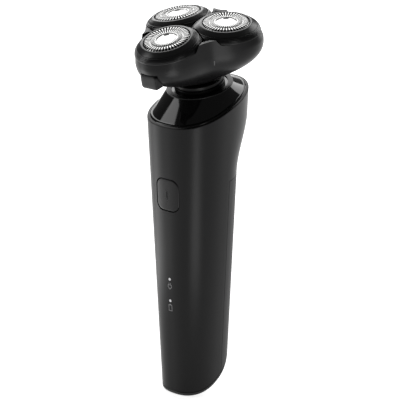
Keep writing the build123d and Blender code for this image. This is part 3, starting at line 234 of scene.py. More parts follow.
def cut(obj, *tools, operation="DIFFERENCE"):
    """Applies booleans with the tools, and deletes them."""
    for tool in tools:
        modifier = obj.modifiers.new("cut", "BOOLEAN")
        modifier.operation = operation
        modifier.solver = "MANIFOLD"
        modifier.object = tool
    bpy.context.view_layer.update()
    evaluated = obj.evaluated_get(bpy.context.evaluated_depsgraph_get())
    mesh = bpy.data.meshes.new_from_object(evaluated)
    obj.modifiers.clear()
    old = obj.data
    obj.data = mesh
    bpy.data.meshes.remove(old)
    for tool in tools:
        data = tool.data
        bpy.data.objects.remove(tool)
        bpy.data.meshes.remove(data)
    return obj


SHARP = radians(32)
ON_SURFACE = 0.03
SAME_WAY = 0.8


def shade(obj, surface_normal=None):
    """Smooth shading with sharp edges kept.

    surface_normal(point in mm) gives the true normal, or None off the surface.
    """
    mesh = obj.data
    mesh.shade_smooth()
    mesh.set_sharp_from_angle(angle=SHARP)
    if surface_normal is None:
        return obj
    known = [surface_normal(vertex.co / MM) for vertex in mesh.vertices]
    normals = [Vector(corner.vector) for corner in mesh.corner_normals]
    for polygon in mesh.polygons:
        for index in polygon.loop_indices:
            true_normal = known[mesh.loops[index].vertex_index]
            if true_normal is not None and true_normal.dot(polygon.normal) > SAME_WAY:
                normals[index] = true_normal
    mesh.normals_split_custom_set(normals)
    return obj


def finished(obj, body, material, nodes=()):
    """Material, body and the CAD nodes that the piece stands for."""
    obj.data.materials.clear()
    obj.data.materials.append(material)
    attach(obj, body)
    if nodes:
        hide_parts(*nodes)
    return obj


# ---------------------------------------------------------------- materials
GRAIN_SCALE, GRAIN_DEPTH = 3000.0, 0.00005
COAT_ROUGHNESS = 0.1


def material(name, color, roughness, metallic=0.0, coat=0.0, specular=0.5, grain=0.0):
    """Principled material; grain is the strength of a fine procedural bump."""
    made = bpy.data.materials.new(name)
    made.use_nodes = True
    nodes, links = made.node_tree.nodes, made.node_tree.links
    shader = nodes["Principled BSDF"]
    shader.inputs["Base Color"].default_value = (*color, 1)
    shader.inputs["Roughness"].default_value = roughness
    shader.inputs["Metallic"].default_value = metallic
    shader.inputs["Coat Weight"].default_value = coat
    shader.inputs["Coat Roughness"].default_value = COAT_ROUGHNESS
    shader.inputs["Specular IOR Level"].default_value = specular
    if grain:
        noise = nodes.new("ShaderNodeTexNoise")
        noise.inputs["Scale"].default_value = GRAIN_SCALE
        noise.inputs["Detail"].default_value = 2
        place = nodes.new("ShaderNodeTexCoord")
        bump = nodes.new("ShaderNodeBump")
        bump.inputs["Strength"].default_value = grain
        bump.inputs["Distance"].default_value = GRAIN_DEPTH
        links.new(place.outputs["Object"], noise.inputs["Vector"])
        links.new(noise.outputs["Fac"], bump.inputs["Height"])
        links.new(bump.outputs["Normal"], shader.inputs["Normal"])
    return made


SHELL = material("shell_satin", (0.003, 0.003, 0.0032), 0.34, specular=0.16, grain=0.1)
GRIP = material("grip_soft", (0.006, 0.006, 0.0062), 0.5, specular=0.25, grain=0.2)
BUTTON = material("button_satin", (0.003, 0.003, 0.0032), 0.33, specular=0.2)
CAP = material("cap_satin", (0.004, 0.004, 0.004), 0.4, specular=0.3)
GLOSS = material("plate_gloss", (0.001, 0.001, 0.001), 0.08, specular=0.35)
NECK = material("neck_satin", (0.001, 0.001, 0.001), 0.3, specular=0.12)
HEAD_SHELL = material("head_satin", (0.004, 0.004, 0.0042), 0.32, specular=0.17, grain=0.08)
FRAME = material("frame_lacquer", (0.003, 0.003, 0.0032), 0.28, specular=0.42)
COLLAR = material("collar_gloss", (0.002, 0.002, 0.002), 0.25, specular=0.1)
GUARD = material("guard_steel", (0.45, 0.45, 0.445), 0.28, metallic=1.0)
# painted shade: the steel cutters under the guard are drawn near-black and not metal, a shaded copy of the guard's
# steel
BLADE_SHADE = material("blade_steel_painted_shade", (0.015, 0.015, 0.015), 0.5, specular=0.2)
# painted shade: the steel guard's slot walls and underside are drawn near-black and not metal
SLOT_SHADE = material("slot_painted_shade", (0.004, 0.004, 0.004), 0.7, specular=0.1)
STEEL = material("steel", (0.62, 0.63, 0.64), 0.3, metallic=1.0)
PRINT = material("print_grey", (0.13, 0.13, 0.133), 0.5)
MARK = material("mark_grey", (0.03, 0.03, 0.031), 0.4)
LIGHT = material("light_window", (0.55, 0.55, 0.56), 0.25)
DARK_PLASTIC = material("inner_plastic", (0.03, 0.03, 0.032), 0.5)
PALE_PLASTIC = material("inner_acetal", (0.72, 0.72, 0.69), 0.4)
RUBBER = material("seal_rubber", (0.02, 0.02, 0.02), 0.7)
BOARD = material("board_green", (0.015, 0.10, 0.045), 0.35, coat=0.5)
CELL = material("cell_sleeve", (0.08, 0.16, 0.38), 0.35)
COPPER = material("copper_wire", (0.75, 0.36, 0.18), 0.35, metallic=1.0)
MAGNET = material("magnet", (0.09, 0.09, 0.1), 0.5, metallic=0.6)

SLOT_MATERIAL = {
    "shell": SHELL, "grip": GRIP, "gloss_black": GLOSS, "head_plastic": HEAD_SHELL,
    "dark_plastic": DARK_PLASTIC, "pale_plastic": PALE_PLASTIC, "seal": RUBBER, "frame": FRAME,
    "collar": COLLAR, "steel": STEEL,
    "cutter_steel": BLADE_SHADE, "copper": COPPER, "board": BOARD, "cell": CELL, "magnet": MAGNET, "light": LIGHT,
}

# CAD nodes that stay in sight keep their meshes and get these materials
for part in frame["record"]["subparts"]:
    node = frame["nodes"][part["node"]]
    for slot in node.material_slots:
        slot.material = SLOT_MATERIAL[part["material_slot"]]


# ---------------------------------------------------------------- handle
def smooth_step(t):
    t = min(max(t, 0.0), 1.0)
    return t * t * (3 - 2 * t)


def section(z):
    """Half width, front depth and rear depth of the handle at height z."""
    taper = z / TAPER_HEIGHT
    rest = REST_PROUD * smooth_step((z - REST_START) / (REST_FULL - REST_START))
    return (
        BASE_HALF_WIDTH + (TOP_HALF_WIDTH - BASE_HALF_WIDTH) * taper,
        BASE_FRONT + (TOP_FRONT - BASE_FRONT) * taper,
        BASE_REAR + (TOP_REAR - BASE_REAR) * taper + rest,
    )


def oval(angle, z, inset=0.0):
    """Point of the handle's section at height z, from the handle's axis."""
    side, front, rear = section(z)
    depth, power = (rear, 2 / REAR_SQUARENESS) if sin(angle) > 0 else (front, 2 / FRONT_SQUARENESS)
    x = copysign((side - inset) * abs(cos(angle)) ** power, cos(angle))
    y = copysign((depth - inset) * abs(sin(angle)) ** power, sin(angle))
    return x, y


def base_height(y, lift):
    """Height of the curved base surface at y, lifted along its normal."""
    return BASE_ARC_R - sqrt(max((BASE_ARC_R - lift) ** 2 - (y - BASE_ARC_Y) ** 2, 1.0))


# evenly spaced angles of every ring
TURN = [2 * pi * k / AROUND for k in range(AROUND)]


def base_row(lift, inset, shrink=1.0):
    """Ring that follows the curved base."""
    row = []
    for angle in TURN:
        z = 0.0
        for _ in range(8):
            x, y = oval(angle, z, inset)
            z = base_height(y * shrink, lift)
        row.append(HANDLE.place(x * shrink, y * shrink, z))
    return row


def rim_row(lift, inset):
    """Ring in a plane parallel to the tilted rim, lift above it."""
    steepness = sqrt(1 + RIM_SLOPE**2)
    row = []
    for angle in TURN:
        x, y = 0.0, 0.0
        for _ in range(8):
            z = RIM_HEIGHT + RIM_SLOPE * y + lift * steepness
            x, y = oval(angle, z, inset)
        row.append(HANDLE.place(x, y, RIM_HEIGHT + RIM_SLOPE * y + lift * steepness))
    return row


def between(low_row, high_row, share, inset):
    """Ring on the handle's surface, its heights between those of two rows."""
    row = []
    for angle, low, high in zip(TURN, low_row, high_row):
        z = low.z + (high.z - low.z) * share
        row.append(HANDLE.place(*oval(angle, z, inset), z))
    return row


def handle_normal(point):
    """Outward normal of the handle's surface, or None where the point isn't on it."""
    x, y, z = HANDLE.local(point)

    def field(x, y, z):
        side, front, rear = section(z)
        depth, power = (rear, REAR_SQUARENESS) if y > 0 else (front, FRONT_SQUARENESS)
        return (abs(x) / side) ** power + (abs(y) / depth) ** power

    step = 0.02
    value = field(x, y, z)
    slope = Vector(
        (
            field(x + step, y, z) - field(x - step, y, z),
            field(x, y + step, z) - field(x, y - step, z),
            field(x, y, z + step) - field(x, y, z - step),
        )
    ) / (2 * step)
    if abs(value - 1) > ON_SURFACE * slope.length:
        return None
    return slope.normalized()


RIM_ROUND = 0.35


def handle_tube(name, low_lift, high_lift, outer_inset, inner_inset, levels=90):
    """Closed wall of the handle from the base up to the rim, with a rounded outer edge at the rim."""
    rows = []
    for inset, edges in ((outer_inset, True), (inner_inset, False)):
        low, high = base_row(low_lift, inset), rim_row(high_lift - (RIM_ROUND if edges else 0), inset)
        walk = [between(low, high, k / levels, inset) for k in range(levels + 1)]
        if edges:
            rows += walk
            rows.append(rim_row(high_lift - 0.1, inset + 0.1))
            rows.append(rim_row(high_lift, inset + RIM_ROUND))
        else:
            rows += walk[::-1]
    return rings(name, rows, closed=True)


GRIP_OUTLINE_POINTS = 48
GRIP_TOOL_LOW, GRIP_TOOL_BACK = -20.0, 60.0
BUTTON_TOOL_Y = (-40.0, -8.0)


def grip_prism(gap):
    """Prism over the rear grip's outline as seen from the back."""
    radius = GRIP_TOP_ARC_R + gap
    outline = [(radius, GRIP_TOOL_LOW)]
    for k in range(GRIP_OUTLINE_POINTS + 1):
        angle = pi * k / GRIP_OUTLINE_POINTS
        outline.append((radius * cos(angle), GRIP_TOP - GRIP_TOP_ARC_R + radius * sin(angle)))
    outline.append((-radius, GRIP_TOOL_LOW))
    depth = (GRIP_EDGE_Y - gap, GRIP_TOOL_BACK)
    return prism("grip_tool", outline, depth, lambda u, v, d: HANDLE.place(u, d, v))


def rounded_outline(half_w, half_h, radius, per_edge=14, per_corner=10):
    """Closed rounded rectangle as (x, z) pairs, edges divided so that they can bend."""
    points = []
    corners = ((1, -1, -90), (1, 1, 0), (-1, 1, 90), (-1, -1, 180))
    for sx, sz, start in corners:
        cx, cz = sx * (half_w - radius), sz * (half_h - radius)
        for k in range(per_corner + 1):
            angle = radians(start + 90 * k / per_corner)
            points.append((cx + radius * cos(angle), cz + radius * sin(angle)))
        nx, nz = points[-1]
        along_z = (sx, sz) in ((1, -1), (-1, 1))
        tx, tz = (nx, -nz) if along_z else (-nx, nz)
        for k in range(1, per_edge):
            points.append((nx + (tx - nx) * k / per_edge, nz + (tz - nz) * k / per_edge))
    return points


def front_y(x, z):
    """The front surface's y at x and z."""
    side, front, _ = section(z)
    return -front * (1 - min(abs(x) / side, 0.999) ** FRONT_SQUARENESS) ** (1 / FRONT_SQUARENESS)


def button_prism(gap):
    outline = rounded_outline(BUTTON_SIZE[0] / 2 + gap, BUTTON_SIZE[1] / 2 + gap, BUTTON_CORNER_R + gap)
    return prism("button_tool", outline, BUTTON_TOOL_Y, lambda u, v, d: HANDLE.place(u, d, BUTTON_Z + v))


body = handle_tube("body_skin", BASE_CAP + SEAM, 0.0, 0.0, WALL)
grip_cut = cut(
    grip_prism(SEAM),
    handle_tube("grip_core", -30.0, 30.0, GRIP_THICKNESS + SEAM, 11.0, levels=60),
)
cut(body, grip_cut, button_prism(BUTTON_GAP))
holes = [
    turned(
        "light_hole",
        Axes(HANDLE.place(0, -8, height), (0, -1, 0), (1, 0, 0)),
        [(0, 0), (LIGHT_HOLE_R, 0), (LIGHT_HOLE_R, 30), (0, 30)],
        count=32,
        closed=False,
    )
    for height in LIGHT_HEIGHTS
]
cut(body, *holes)
shade(body, handle_normal)
finished(body, "handle", SHELL, ["body_shell"])

grip = handle_tube("grip_skin", BASE_CAP + SEAM, -3.0, 0.0, GRIP_THICKNESS)
cut(grip, grip_prism(0), operation="INTERSECT")
shade(grip, handle_normal)
finished(grip, "handle", GRIP, ["rear_grip"])


# base cap with a rounded lower edge, and the slot for the inlet
CAP_EDGE_R = 1.1
cap_rows = [base_row(BASE_CAP, inset) for inset in (WALL, 0.15)]
cap_rows.append(base_row(BASE_CAP - 0.15, 0.0))
for k in range(7):
    angle = radians(90 * k / 6)
    cap_rows.append(base_row(CAP_EDGE_R * (1 - sin(angle)), CAP_EDGE_R * (1 - cos(angle))))
for shrink in (0.85, 0.7, 0.55, 0.4, 0.25, 0.1):
    cap_rows.append(base_row(0.0, CAP_EDGE_R, shrink))
for shrink in (0.1, 0.4, 0.7, 1.0):
    cap_rows.append(base_row(BASE_CAP - 0.5, WALL, shrink))
cap = rings("base_cap_skin", cap_rows, closed=True)
slot_outline = []
slot_r = INLET_SLOT[1] / 2
slot_half = INLET_SLOT[0] / 2 - slot_r
for side in (1, -1):
    for k in range(17):
        angle = radians(-90 + 180 * k / 16) + (pi if side < 0 else 0)
        slot_outline.append((side * slot_half + slot_r * cos(angle), INLET_Y + slot_r * sin(angle)))
cut(cap, prism("inlet_tool", slot_outline, (-5.0, 14.0), HANDLE.place))
shade(cap)
finished(cap, "handle", CAP, ["base_cap"])


# ---------------------------------------------------------------- power button
def button_row(depth, inset):
    outline = rounded_outline(
        BUTTON_SIZE[0] / 2 - inset, BUTTON_SIZE[1] / 2 - inset, max(BUTTON_CORNER_R - 0.5 * inset, 0.3)
    )
    return [HANDLE.place(x, front_y(x, BUTTON_Z + z) + depth, BUTTON_Z + z) for x, z in outline]


EDGE = 0.55
button_rows = [button_row(BUTTON_THICKNESS, inset) for inset in (5.5, 3.0, 0.0)]
for k in range(7):
    angle = radians(90 * k / 6)
    button_rows.append(button_row(EDGE * (1 - sin(angle)) + 0.02, EDGE * (1 - cos(angle))))
button_rows += [button_row(0.02, inset) for inset in (1.0, 1.8, 2.8, 3.8, 4.8, 5.5)]
button = rings("button_skin", button_rows, closed=False)
shade(button)
finished(button, "button", BUTTON, ["power_button"])


# ---------------------------------------------------------------- printed marks on the front
PRINT_LIFT, PRINT_WIDTH = 0.03, 0.26


def front_ribbon(name, strokes, width, center_z):
    """Thin print on the front surface: each stroke is a list of (x, z) points."""
    points, faces = [], []
    for stroke in strokes:
        for (x0, z0), (x1, z1) in zip(stroke, stroke[1:]):
            along = Vector((x1 - x0, z1 - z0))
            along.normalize()
            across = Vector((-along.y, along.x)) * width / 2
            reach = along * width / 2
            corners = [
                (x0 - reach.x - across.x, z0 - reach.y - across.y),
                (x1 + reach.x - across.x, z1 + reach.y - across.y),
                (x1 + reach.x + across.x, z1 + reach.y + across.y),
                (x0 - reach.x + across.x, z0 - reach.y + across.y),
            ]
            start = len(points)
            for lift in (-PRINT_LIFT, PRINT_LIFT):
                for x, z in corners:
                    points.append(HANDLE.place(x, front_y(x, center_z + z) - lift, center_z + z))
            faces += [[start + i for i in face] for face in BOX_FACES]
    obj = new_object(name, points, faces)
    if obj.data.polygons[0].normal.y < 0:
        obj.data.flip_normals()
    return obj


ICON_DROP = 3.1
PLUG_STROKES = [
    [(-0.9, 0.5), (0.9, 0.5)],
    [(-0.9, 0.5), (-0.9, -0.5), (-0.4, -1.1), (0.4, -1.1), (0.9, -0.5), (0.9, 0.5)],
    [(-0.45, 0.5), (-0.45, 1.3)], [(0.45, 0.5), (0.45, 1.3)], [(0, -1.1), (0, -1.6)],
]
BATTERY_STROKES = [
    [(-0.85, -1.5), (-0.85, 1.1), (0.85, 1.1), (0.85, -1.5), (-0.85, -1.5)], [(-0.35, 1.45), (0.35, 1.45)],
]
for name, strokes, height in (
    ("print_plug", PLUG_STROKES, LIGHT_HEIGHTS[1]), ("print_battery", BATTERY_STROKES, LIGHT_HEIGHTS[0]),
):
    mark = front_ribbon(name, strokes, PRINT_WIDTH, height - ICON_DROP)
    finished(mark, "handle", PRINT)


# ---------------------------------------------------------------- top plate, collar, neck
def plate_cone_row(share, drop, edge_inset, top_r):
    """Ring between the plate's bevel and the collar."""
    low = rim_row(0.6 - drop, edge_inset)
    row = []
    for angle, start in zip(TURN, low):
        end = HEAD.polar(top_r, angle, -drop)
        row.append(start.lerp(end, share))
    return row


BEVEL_TURN, BEVEL_RISE, BEVEL_WIDTH = radians(60), 0.55, 2.0
plate_rows = [rim_row(-PLATE_SKIRT, PLATE_INSET), rim_row(-0.1, PLATE_INSET)]
for k in range(6):
    angle = BEVEL_TURN * k / 5
    rise = BEVEL_RISE * sin(angle) / sin(BEVEL_TURN) + 0.05
    plate_rows.append(rim_row(rise, PLATE_INSET + 0.02 + BEVEL_WIDTH * (1 - cos(angle))))
for share in (0.0, 0.02, 0.15, 0.3, 0.45, 0.6, 0.75, 0.9, 1):
    plate_rows.append(plate_cone_row(share, 0, 2.3, COLLAR_R - 0.1))
plate_rows.append([HEAD.polar(PLATE_HOLE_R, angle, 0) for angle in TURN])
plate_rows.append([HEAD.polar(PLATE_HOLE_R, angle, -PLATE_THICKNESS) for angle in TURN])
plate_rows += [plate_cone_row(share, PLATE_THICKNESS, 3.1, COLLAR_R - 1.5) for share in (1, 0.5, 0)]
plate_rows.append(rim_row(-PLATE_SKIRT, 3.0))
plate = rings("top_plate_skin", plate_rows, closed=True)
shade(plate)
finished(plate, "handle", GLOSS, ["top_plate"])

collar = turned(
    "collar_skin",
    HEAD,
    [
        (COLLAR_BORE_R, 0), (COLLAR_BORE_R, COLLAR_HEIGHT - 0.1), (COLLAR_BORE_R + 0.1, COLLAR_HEIGHT),
        (COLLAR_R - 0.35, COLLAR_HEIGHT), (COLLAR_R - 0.1, COLLAR_HEIGHT - 0.08),
        (COLLAR_R, COLLAR_HEIGHT - 0.3), (COLLAR_R, 0),
    ],
)
shade(collar)
finished(collar, "handle", COLLAR, ["collar_ring"])

neck = turned(
    "neck_skin",
    HEAD,
    [
        (2.8, -2.0), (7.9, -2.0), (7.9, 0), (10.7, 0), (10.9, 0.15), (10.9, 1.5), (10.7, 1.7), (10.2, 1.72),
        (10.2, 1.98), (10.45, 2.0), (10.6, 2.15), (10.6, 3.3), (10.3, 3.6), (6.6, 3.6), (6.6, 8.0),
        (4.3, 8.0), (4.3, 2.6), (2.8, 2.6),
    ],
)
shade(neck)
finished(neck, "handle", NECK, ["neck"])


# ---------------------------------------------------------------- head shell
def head_radius(angle, s, shift=0.0, inset=0.0):
    """Radius of the three-lobed head at an angle in the head's plane and a height along its axis."""
    t = min(max((s - shift - HEAD_BOTTOM) / (HEAD_FULL - HEAD_BOTTOM), 0.0), 1.0)
    fullness = 1 - (1 - t) ** WAIST_FULLNESS
    lobe = HEAD_NECK_R + (LOBE_R - HEAD_NECK_R) * (1 - (1 - t) ** LOBE_FULLNESS)
    lobe -= LOBE_LEAN * max(s - HEAD_FULL, 0)
    waist = HEAD_NECK_R + (WAIST_R - HEAD_NECK_R) * fullness
    mean = (lobe + waist) / 2 - LOBE_ROUNDING * fullness
    swing = (lobe - waist) / 2
    turned_angle = angle + pi / 2
    return mean + swing * cos(3 * turned_angle) + LOBE_ROUNDING * fullness * cos(6 * turned_angle) - inset


def head_normal(point):
    """Outward normal of the head's outer surface, or None off it."""
    x, y, s = HEAD.local(point)
    radius = sqrt(x * x + y * y)
    if radius < 1 or s > HEAD_TOP - 0.01 or s < HEAD_BOTTOM + 0.01:
        return None
    angle = Vector((1, 0)).angle_signed(Vector((x, y))) * -1
    if abs(head_radius(angle, s) - radius) > ON_SURFACE:
        return None
    step = 0.002
    along_s = (head_radius(angle, s + step) - head_radius(angle, s - step)) / (2 * step)
    along_angle = (head_radius(angle + step, s) - head_radius(angle - step, s)) / (2 * step * radius)
    outward = HEAD.x * cos(angle) + HEAD.y * sin(angle)
    sideways = HEAD.y * cos(angle) - HEAD.x * sin(angle)
    return (outward - sideways * along_angle - HEAD.z * along_s).normalized()


def head_row(s, shift=0.0, inset=0.0):
    return [HEAD.polar(head_radius(angle, s, shift, inset), angle, s) for angle in TURN]


def steps(low, high, count):
    return [low + (high - low) * k / count for k in range(count + 1)]


def cylinder(name, axes, radius, height, top_radius=None):
    """Solid round tool that stands on the axes' plane."""
    top = radius if top_radius is None else top_radius
    return turned(name, axes, [(0, 0), (radius, 0), (top, height), (0, height)], closed=False)


head_levels = [HEAD_BOTTOM + (HEAD_FULL - HEAD_BOTTOM) * (k / 40) ** 1.4 for k in range(41)]
head_levels += steps(HEAD_FULL, HEAD_TOP, 6)[1:]
shell = rings("head_skin", [head_row(s) for s in head_levels])
inner_levels = steps(HEAD_BOTTOM + SHELL_FLOOR, HEAD_FULL + SHELL_FLOOR, 24)
inside = rings("head_inside", [head_row(s, SHELL_FLOOR, SHELL_SIDE) for s in inner_levels])
neck_hole = cylinder("neck_hole", HEAD.raised(HEAD_BOTTOM - 1), HEAD_HOLE_R, 4)
bores = []
for axes in CUTTER_AXES.values():
    foot, deep = axes.raised(-FRAME_FOOT_W - SEAM), axes.raised(-COVER_DEPTH)
    bores.append(cylinder("bore", foot, BORE_FOOT_R, BORE_REACH, BORE_FOOT_R + BORE_FLARE * BORE_REACH))
    bores.append(cylinder("bore", deep, COVER_BORE_R, BORE_REACH))
CREST_INNER, CREST_EDGE = (8.0, 21.3), 1.6
crest_profile = [(0, CREST_INNER[1]), CREST_INNER, (WAIST_R - CREST_EDGE, HEAD_TOP)]
crest_profile += [(40, HEAD_TOP), (40, 60), (0, 60)]
crest = turned("crest_tool", HEAD, crest_profile, closed=False)
tab_room = block(
    "tab_tool", HEAD, (-TAB_HALF_WIDTH - TAB_GAP, -60, TAB_LOW - TAB_GAP),
    (TAB_HALF_WIDTH + TAB_GAP, TAB_INNER_Y + TAB_ROOM, TAB_HIGH + TAB_GAP),
)
cut(shell, inside)
cut(shell, neck_hole, tab_room, *bores, crest)
shade(shell, head_normal)
finished(shell, "head", HEAD_SHELL, ["head_shell"])


# ---------------------------------------------------------------- release tab
def tab_row(y, inset):
    corner = max(TAB_CORNER_R - 0.4 * inset, 0.2)
    outline = rounded_outline(TAB_HALF_WIDTH - inset, (TAB_HIGH - TAB_LOW) / 2 - inset, corner)
    return [HEAD.place(x, y, (TAB_LOW + TAB_HIGH) / 2 + v) for x, v in outline]


tab_rows = [tab_row(TAB_INNER_Y, inset) for inset in (2.0, 0.0)]
for angle in (radians(90 * k / 6) for k in range(7)):
    tab_rows.append(tab_row(TAB_OUTER_Y + TAB_EDGE * (1 - sin(angle)), TAB_EDGE * (1 - cos(angle))))
tab_rows.append(tab_row(TAB_OUTER_Y, 2.0))
tab = rings("release_tab_skin", tab_rows)
shade(tab)
finished(tab, "tab", HEAD_SHELL, ["release_tab"])


# small upright mark between two lobes, on the side of the shell
MARK_ANGLE = radians(-24.5)
MARK_S = (15.8, 18.0)
MARK_HALF = radians(0.55)
mark_points = []
for lift in (-0.05, 0.06):
    for angle, s in (
        (MARK_ANGLE - MARK_HALF, MARK_S[0]), (MARK_ANGLE + MARK_HALF, MARK_S[0]),
        (MARK_ANGLE + MARK_HALF, MARK_S[1]), (MARK_ANGLE - MARK_HALF, MARK_S[1]),
    ):
        mark_points.append(HEAD.polar(head_radius(angle, s) + lift, angle, s))
mark = new_object("alignment_mark", mark_points, BOX_FACES)
finished(mark, "head", MARK)


# ---------------------------------------------------------------- cutter frames
FRAME_RINGS = 5
RING_DEPTH = 0.3
SMOOTH_SHARE = 0.34  # upper share of the frame's side that has no rings


def frame_outside(share):
    radius = FRAME_TOP_R + (FRAME_FOOT_R - FRAME_TOP_R) * share + FRAME_BULGE * sin(pi * share)
    return radius, -FRAME_TOP_W - (FRAME_FOOT_W - FRAME_TOP_W) * share


frame_profile = [
    (GUARD_R + 0.15, -FRAME_FOOT_W), (GUARD_R + 0.15, -FRAME_TOP_W - 0.1),
    (GUARD_R + 0.25, -FRAME_TOP_W), (FRAME_TOP_R - 0.15, -FRAME_TOP_W),
]
for k in range(9):
    frame_profile.append(frame_outside(0.02 + SMOOTH_SHARE * k / 8))
for k in range(FRAME_RINGS):
    start = SMOOTH_SHARE + 0.03 + (0.96 - SMOOTH_SHARE) * k / FRAME_RINGS
    end = SMOOTH_SHARE + 0.03 + (0.96 - SMOOTH_SHARE) * (k + 1) / FRAME_RINGS
    for share, depth in (
        (start + 0.012, RING_DEPTH), (start + 0.03, RING_DEPTH), (start + 0.045, 0.0), (end - 0.012, 0.0),
    ):
        radius, height = frame_outside(min(share, 0.995))
        frame_profile.append((radius - depth, height))
frame_profile.append((FRAME_FOOT_R, -FRAME_FOOT_W))

# Fewer and wider slots than the CAD's 60, and an inner ring of slots where it has a shallow groove.
GUARD_SECTORS = 44
OUTER_SLOT = (7.2, 9.92)
INNER_SLOT = (4.95, 6.8)
SLOT_SHARE = 0.6
GUARD_TOP = [
    (0.6, -0.22), (2.0, -0.22), (3.4, -0.22), (4.0, -0.24), (4.15, -0.42), (4.5, -0.42),
    (4.65, -0.02), (4.8, 0.0),
    (INNER_SLOT[0], 0.0), (INNER_SLOT[1], 0.0), (6.84, -0.02), (6.9, -0.22), (7.06, -0.22), (7.12, -0.02),
    (OUTER_SLOT[0], 0.0), (8.6, 0.0), (9.2, -0.06), (9.72, -0.3), (OUTER_SLOT[1], -0.6), (GUARD_R, -0.85),
]
SKIN = 0.45
SKIRT_W = 6.5
NOTCH_ALONG = (0.766, 0.643, 0)


def guard_mesh(name, axes):
    """Slotted guard: a thick skin over a polar grid, with the cells of the slots left out.

    Also returns which faces are slot walls or underside, for the near-black material that paints the shade in the
    slots and under the guard.
    """
    shares = (0.0, (1 - SLOT_SHARE) / 2, 1 - SLOT_SHARE)
    columns = [2 * pi * (k + share) / GUARD_SECTORS for k in range(GUARD_SECTORS) for share in shares]
    count = len(columns)
    rows = len(GUARD_TOP)
    points = [axes.polar(radius, angle, height) for radius, height in GUARD_TOP for angle in columns]
    under = len(points)
    for radius, height in GUARD_TOP:
        lowered = min(radius, GUARD_R - SKIN)
        points += [axes.polar(lowered, angle, height - SKIN) for angle in columns]
    faces, painted_shade_faces = [], set()

    def open_cell(row, column):
        low, high = GUARD_TOP[row][0], GUARD_TOP[row + 1][0]
        for start, end in (OUTER_SLOT, INNER_SLOT):
            if low >= start - 1e-6 and high <= end + 1e-6:
                return column % len(shares) == len(shares) - 1
        return False

    for row in range(rows - 1):
        for column in range(count):
            if open_cell(row, column):
                continue
            a, b = row * count + column, row * count + (column + 1) % count
            c, d = b + count, a + count
            faces.append((a, d, c, b))
            painted_shade_faces.add(len(faces))
            faces.append((under + a, under + b, under + c, under + d))
            for other, first, second in (
                ((row, column - 1), d, a), ((row, column + 1), b, c),
                ((row - 1, column), a, b), ((row + 1, column), c, d),
            ):
                if 0 <= other[0] < rows - 1 and open_cell(*other):
                    painted_shade_faces.add(len(faces))
                    faces.append((first, second, under + second, under + first))
    # middle of the disc, and the skirt
    hub, hub_under = len(points), len(points) + 1
    points += [axes.place(0, 0, GUARD_TOP[0][1]), axes.place(0, 0, GUARD_TOP[0][1] - SKIN)]
    foot = len(points)
    for radius in (GUARD_R, GUARD_R - SKIN):
        points += [axes.polar(radius, angle, -SKIRT_W) for angle in columns]
    last = (rows - 1) * count
    for column in range(count):
        n = (column + 1) % count
        faces.append((hub, column, n))
        faces.append((hub_under, under + n, under + column))
        faces.append((last + column, foot + column, foot + n, last + n))
        faces.append((foot + column, foot + count + column, foot + count + n, foot + n))
        faces.append((foot + count + column, under + last + column, under + last + n, foot + count + n))
    return new_object(name, points, faces), painted_shade_faces


for name, axes in CUTTER_AXES.items():
    angle = CUTTERS[name]
    cutter_frame = turned(f"cutter_frame_skin_{name}", axes, frame_profile)
    tools = []
    for side in (-150, 150):
        away = lobe_direction(angle + side)
        trim_axes = Axes(HEAD.o - away * FRAME_GAP, away, HEAD.z)
        tools.append(block("trim", trim_axes, (-80, -80, 0), (80, 80, 80)))
    cut(cutter_frame, *tools)
    shade(cutter_frame)
    finished(cutter_frame, "cover", FRAME, [f"cutter_frame_{name}"])
    guard, painted_shade_faces = guard_mesh(f"guard_skin_{name}", axes)
    shade(guard)
    finished(guard, f"cutter_{name}", GUARD, [f"guard_{name}"])
    # slot walls and underside get the painted shade
    guard.data.materials.append(SLOT_SHADE)
    for polygon in guard.data.polygons:
        polygon.material_index = 1 if polygon.index in painted_shade_faces else 0
    # dark block at the guard's notch in the cutters' near-black: painted shade of the notch
    notch_axes = Axes(axes.place(0, 0, -0.2), axes.z, NOTCH_ALONG)
    notch = block(f"guard_notch_{name}", notch_axes, (-1.1, 3.0, -0.1), (1.1, 4.1, 0.1))
    finished(notch, f"cutter_{name}", BLADE_SHADE)


# ---------------------------------------------------------------- floor, light, camera
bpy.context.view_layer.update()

FLOOR_HALF, FLOOR_GLOW = 12.0, 0.8
WORLD_STRENGTH = 0.12
floor_reach = FLOOR_HALF / MM
floor_corners = [(x * floor_reach, y * floor_reach, 0) for x, y in ((-1, -1), (1, -1), (1, 1), (-1, 1))]
floor = new_object("floor", floor_corners, [(0, 1, 2, 3)])
# the floor gives some light of its own, so that it is white without lighting the dark object much
floor_white = material("floor_white", (0.9, 0.9, 0.9), 0.9, specular=0.0)
floor_shader = floor_white.node_tree.nodes["Principled BSDF"]
floor_shader.inputs["Emission Color"].default_value = (1, 1, 1, 1)
floor_shader.inputs["Emission Strength"].default_value = FLOOR_GLOW
floor.data.materials.append(floor_white)

world = bpy.data.worlds.new("studio")
bpy.context.scene.world = world
bpy.context.scene.view_settings.view_transform = "Standard"
world.use_nodes = True
world.node_tree.nodes["Background"].inputs["Color"].default_value = (1, 1, 1, 1)
world.node_tree.nodes["Background"].inputs["Strength"].default_value = WORLD_STRENGTH

CAMERA_AZIMUTH, CAMERA_ELEVATION, CAMERA_DISTANCE = 40.0, 18.0, 866.0
TARGET_HEIGHT, TARGET_SIDE = 86.1, 1.8
LENS, SENSOR = 180.0, 36.0


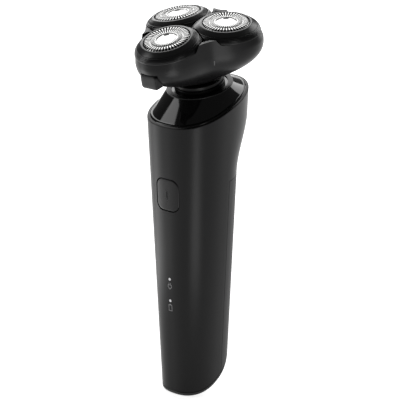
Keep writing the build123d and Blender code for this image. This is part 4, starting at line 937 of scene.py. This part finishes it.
def direction(azimuth, elevation):
    a, e = radians(azimuth), radians(elevation)
    return Vector((sin(a) * cos(e), -cos(a) * cos(e), sin(e)))


def softbox(name, azimuth, elevation, distance, width, height, power):
    """Area light that looks at the middle of the shaver."""
    light = bpy.data.lights.new(name, "AREA")
    light.shape = "RECTANGLE"
    light.size, light.size_y = width, height
    light.energy = power
    obj = bpy.data.objects.new(name, light)
    centre = Vector((0, 0, 0.09))
    away = direction(azimuth, elevation)
    obj.location = centre + away * distance
    obj.rotation_mode = "QUATERNION"
    obj.rotation_quaternion = (-away).to_track_quat("-Z", "Y")
    bpy.context.scene.collection.objects.link(obj)
    return obj


softbox("softbox_left", -55, 14, 0.9, 0.3, 1.0, 3)
softbox("softbox_right", 65, 14, 1.0, 0.3, 1.0, 1)
softbox("softbox_guards", -130, 35, 1.0, 0.7, 0.7, 5)
softbox("softbox_back", 175, 25, 1.1, 0.6, 0.9, 5)

# light strips that lie on the white floor and shine up; the handle mirrors them as narrow highlights
for name, azimuth, width, power in (("strip_left", -64, 0.12, 0.5), ("strip_front", 51, 0.1, 0.5)):
    strip = softbox(name, azimuth, 0, 0.34, width, 0.44, power)
    strip.location.z = 0.003
    facing_up = Matrix.Rotation(radians(azimuth), 3, "Z") @ Matrix.Rotation(pi, 3, "Y")
    strip.rotation_quaternion = facing_up.to_quaternion()

side = Vector((cos(radians(CAMERA_AZIMUTH)), sin(radians(CAMERA_AZIMUTH)), 0))
back = direction(CAMERA_AZIMUTH, CAMERA_ELEVATION)
target = Vector((0, AXIS_Y, TARGET_HEIGHT)) + side * TARGET_SIDE
camera = bpy.data.objects.new("camera", bpy.data.cameras.new("camera"))
camera.data.lens, camera.data.sensor_width = LENS, SENSOR
camera.data.clip_start, camera.data.clip_end = 0.05, 60.0
camera.location = (target + back * CAMERA_DISTANCE) * MM
camera.rotation_mode = "QUATERNION"
camera.rotation_quaternion = (-back).to_track_quat("-Z", "Y")
bpy.context.scene.collection.objects.link(camera)
bpy.context.scene.camera = camera
